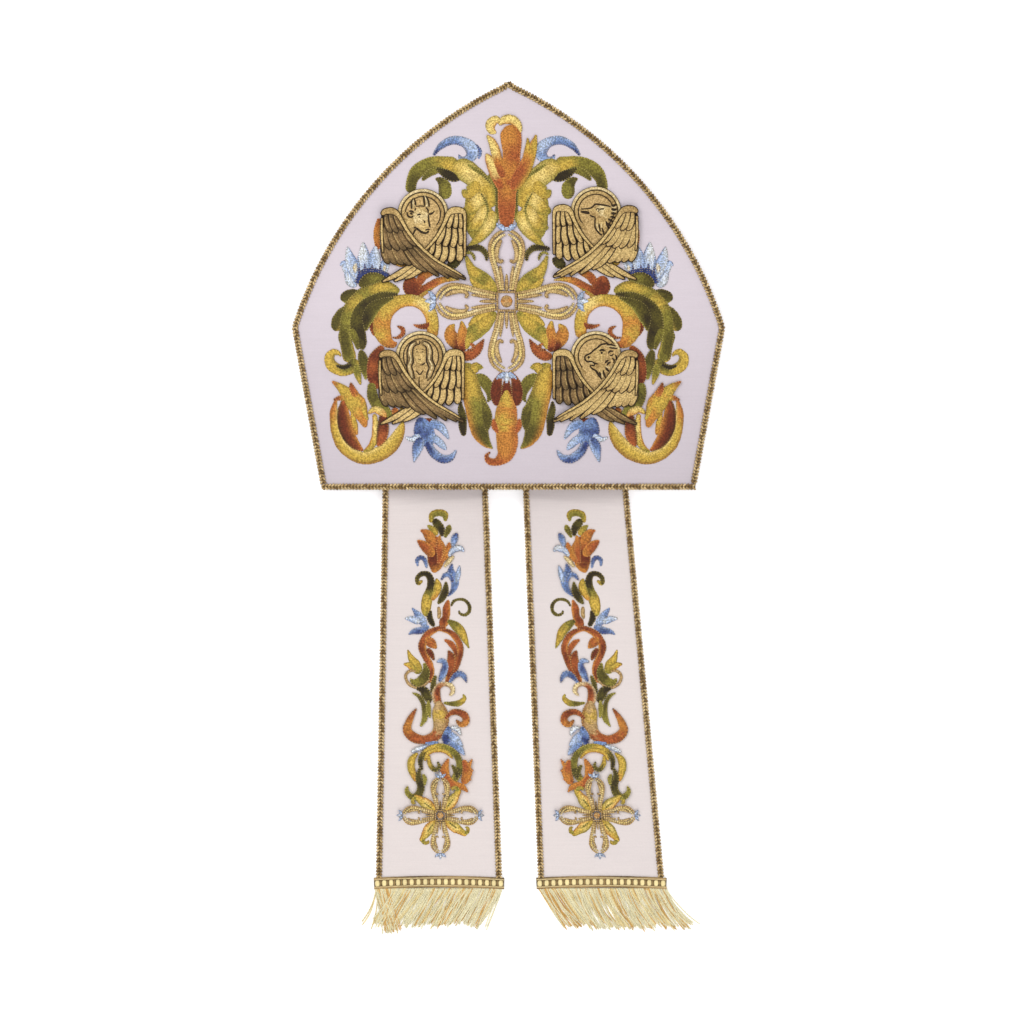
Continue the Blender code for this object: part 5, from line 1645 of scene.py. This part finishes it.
def twisted_cord(work, points, letter, glint):
    """A two-ply cord along a line of points: an oval section that turns as it goes."""
    first = len(work.points)
    run = 0.0
    start_turn = work.draw.uniform(0, math.tau)
    for k, (x, y, z) in enumerate(points):
        before, after = points[max(k - 1, 0)], points[min(k + 1, len(points) - 1)]
        along = (Vector(after) - Vector(before)).normalized()
        across = along.cross(Vector((0, 0, 1))).normalized()
        up = across.cross(along)
        run += (Vector(after) - Vector(before)).length / 2
        twist = start_turn + math.tau * run / CORD_TWIST_PITCH
        taper = CORD_END_TAPER if k == len(points) - 1 else 1.0
        for side in range(CORD_SIDES):
            angle = math.tau * side / CORD_SIDES
            wide, high = math.cos(angle) * CORD_HALF_WIDTH * taper, math.sin(angle) * CORD_HALF_HEIGHT * taper
            sx = wide * math.cos(twist) - high * math.sin(twist)
            sz = wide * math.sin(twist) + high * math.cos(twist)
            placed = Vector((x, y, z)) + across * sx + up * sz
            work.points.append((placed.x, placed.y, max(placed.z, CORD_FLOOR)))
            # Painted shade in the grooves: all but the two widest points of the section are darker
            groove_shade = 1.0 if abs(math.cos(angle)) > 0.9 else CORD_GROOVE_PAINTED_SHADE
            work.colours.append([c * glint * groove_shade for c in THREADS[letter][:3]])
            work.stitches.append((run / STITCH_SPAN, side / STITCH_SPAN))
    work.close_rings(first, len(points), CORD_SIDES)


def hang_cord(work, spot, x, lean, bend, length, height, letter):
    """One cord from the heading down to the surface, and out over it."""
    start_z = lappet_top(0, HEADING_BOTTOM + 2) + FIT + CORD_ROOT_LIFT
    phase = work.draw.uniform(0, math.tau)
    line, px, py, run = [], x, HEADING_BOTTOM + CORD_ROOT_TUCK, 0.0
    while run < length:
        fall = smoothstep(run / CORD_FALL)
        lift = CORD_LIFT * math.sin(run / CORD_LIFT_SPAN + 2 * phase)
        line.append((*spot(px, py), start_z + (height - start_z) * fall + lift))
        wave = CORD_WAVE_DEG * math.sin(run / CORD_WAVE_SPAN + phase)
        heading = math.radians(lean + bend * run / length + wave)
        px -= math.sin(heading) * CORD_STEP
        py -= math.cos(heading) * CORD_STEP
        run += CORD_STEP
    twisted_cord(work, line, letter, work.draw.uniform(0.9, 1.08))


def heading_y(x, drop):
    """Where the heading lies at x, at a distance below its top edge. It bows up a little in the middle."""
    return HEADING_TOP - drop + HEADING_BOW * (1 - (x / HEADING_HALF_WIDTH) ** 2)


def heading_line(drop, half_width):
    places = [HEADING_HALF_WIDTH * (2 * k / HEADING_PARTS - 1) for k in range(HEADING_PARTS + 1)]
    return [(x, heading_y(x, drop), half_width) for x in places]


fringe_thread = thread_finish("fringe_thread", 0.05, 0.42, 0.1, 0.12)
beads = round(2 * HEADING_HALF_WIDTH / BEAD_PITCH)
for seed, (name, (spot, own)) in enumerate(lappet_places.items(), start=71):
    fringe_work = Needlework(
        lambda x, y, own=own: lappet_top(*own(x, y)) + FIT, spot, seed=seed, step=HEADING_STEP
    )
    draw = fringe_work.draw
    for count, height, shift in CORD_LAYERS:
        for k in range(count):
            share = (k + shift + draw.uniform(-CORD_PLACE_JITTER, CORD_PLACE_JITTER)) / count
            lean, bend, length, ochre = lie_of_cord(FRINGE_SHAPES[name], share)
            letter = "c" if draw.random() < OCHRE_PART * ochre else draw.choice(PALE_THREADS)
            x = HEADING_HALF_WIDTH * (2 * share - 1) * CORD_SPREAD
            lean += draw.gauss(0, CORD_LEAN_JITTER)
            bend += draw.gauss(0, CORD_BEND_JITTER)
            length *= draw.uniform(0.93, 1.05)
            hang_cord(fringe_work, spot, x, lean, bend, length, height, letter)
    for x, lean, bend, length in STRAY_CORDS[name]:
        hang_cord(fringe_work, spot, x, lean, bend, length, STRAY_HEIGHT, "f")
    band = heading_line(HEADING_HEIGHT / 2, HEADING_HEIGHT / 2)
    fringe_work.strip(band, "mxm", "x", "x", rise=0.5, layer=0, ragged=0.0, blunt=True)
    for drop, letters, width in HEADING_CORDS:
        fringe_work.strip(heading_line(drop, width), letters, rise=0.8, layer=2, ragged=0.15, blunt=True)
    for k in range(1, 2 * beads):
        x = -HEADING_HALF_WIDTH + k * HEADING_HALF_WIDTH / beads
        bx, by = spot(x, heading_y(x, BEAD_DROP))
        reach, girth, letter = BEAD if k % 2 else BEAD_BAR
        glint = draw.uniform(0.92, 1.08)
        add_loop(fringe_work, bx, by, math.pi / 2, reach, girth, BEAD_BASE, BEAD_HEIGHT, letter, glint)
    fringe = fringe_work.sew("gold_fringe_" + name, fringe_thread)
    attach(fringe, "root")
    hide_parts("fringe_" + name)
    lappet_trims[name].append(fringe)

# Cloth lengths
# The length that the gusset's cloth was cut to is worked out at each station and not kept, and the lappets'
# trims are gathered into lists.
for x in gusset_stations:
    line = gusset_line(x)
    sum(math.dist(a, b) for a, b in zip(line, line[1:])) * MM
for name, cloth in lappet_cloths.items():
    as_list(lappet_trims[name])
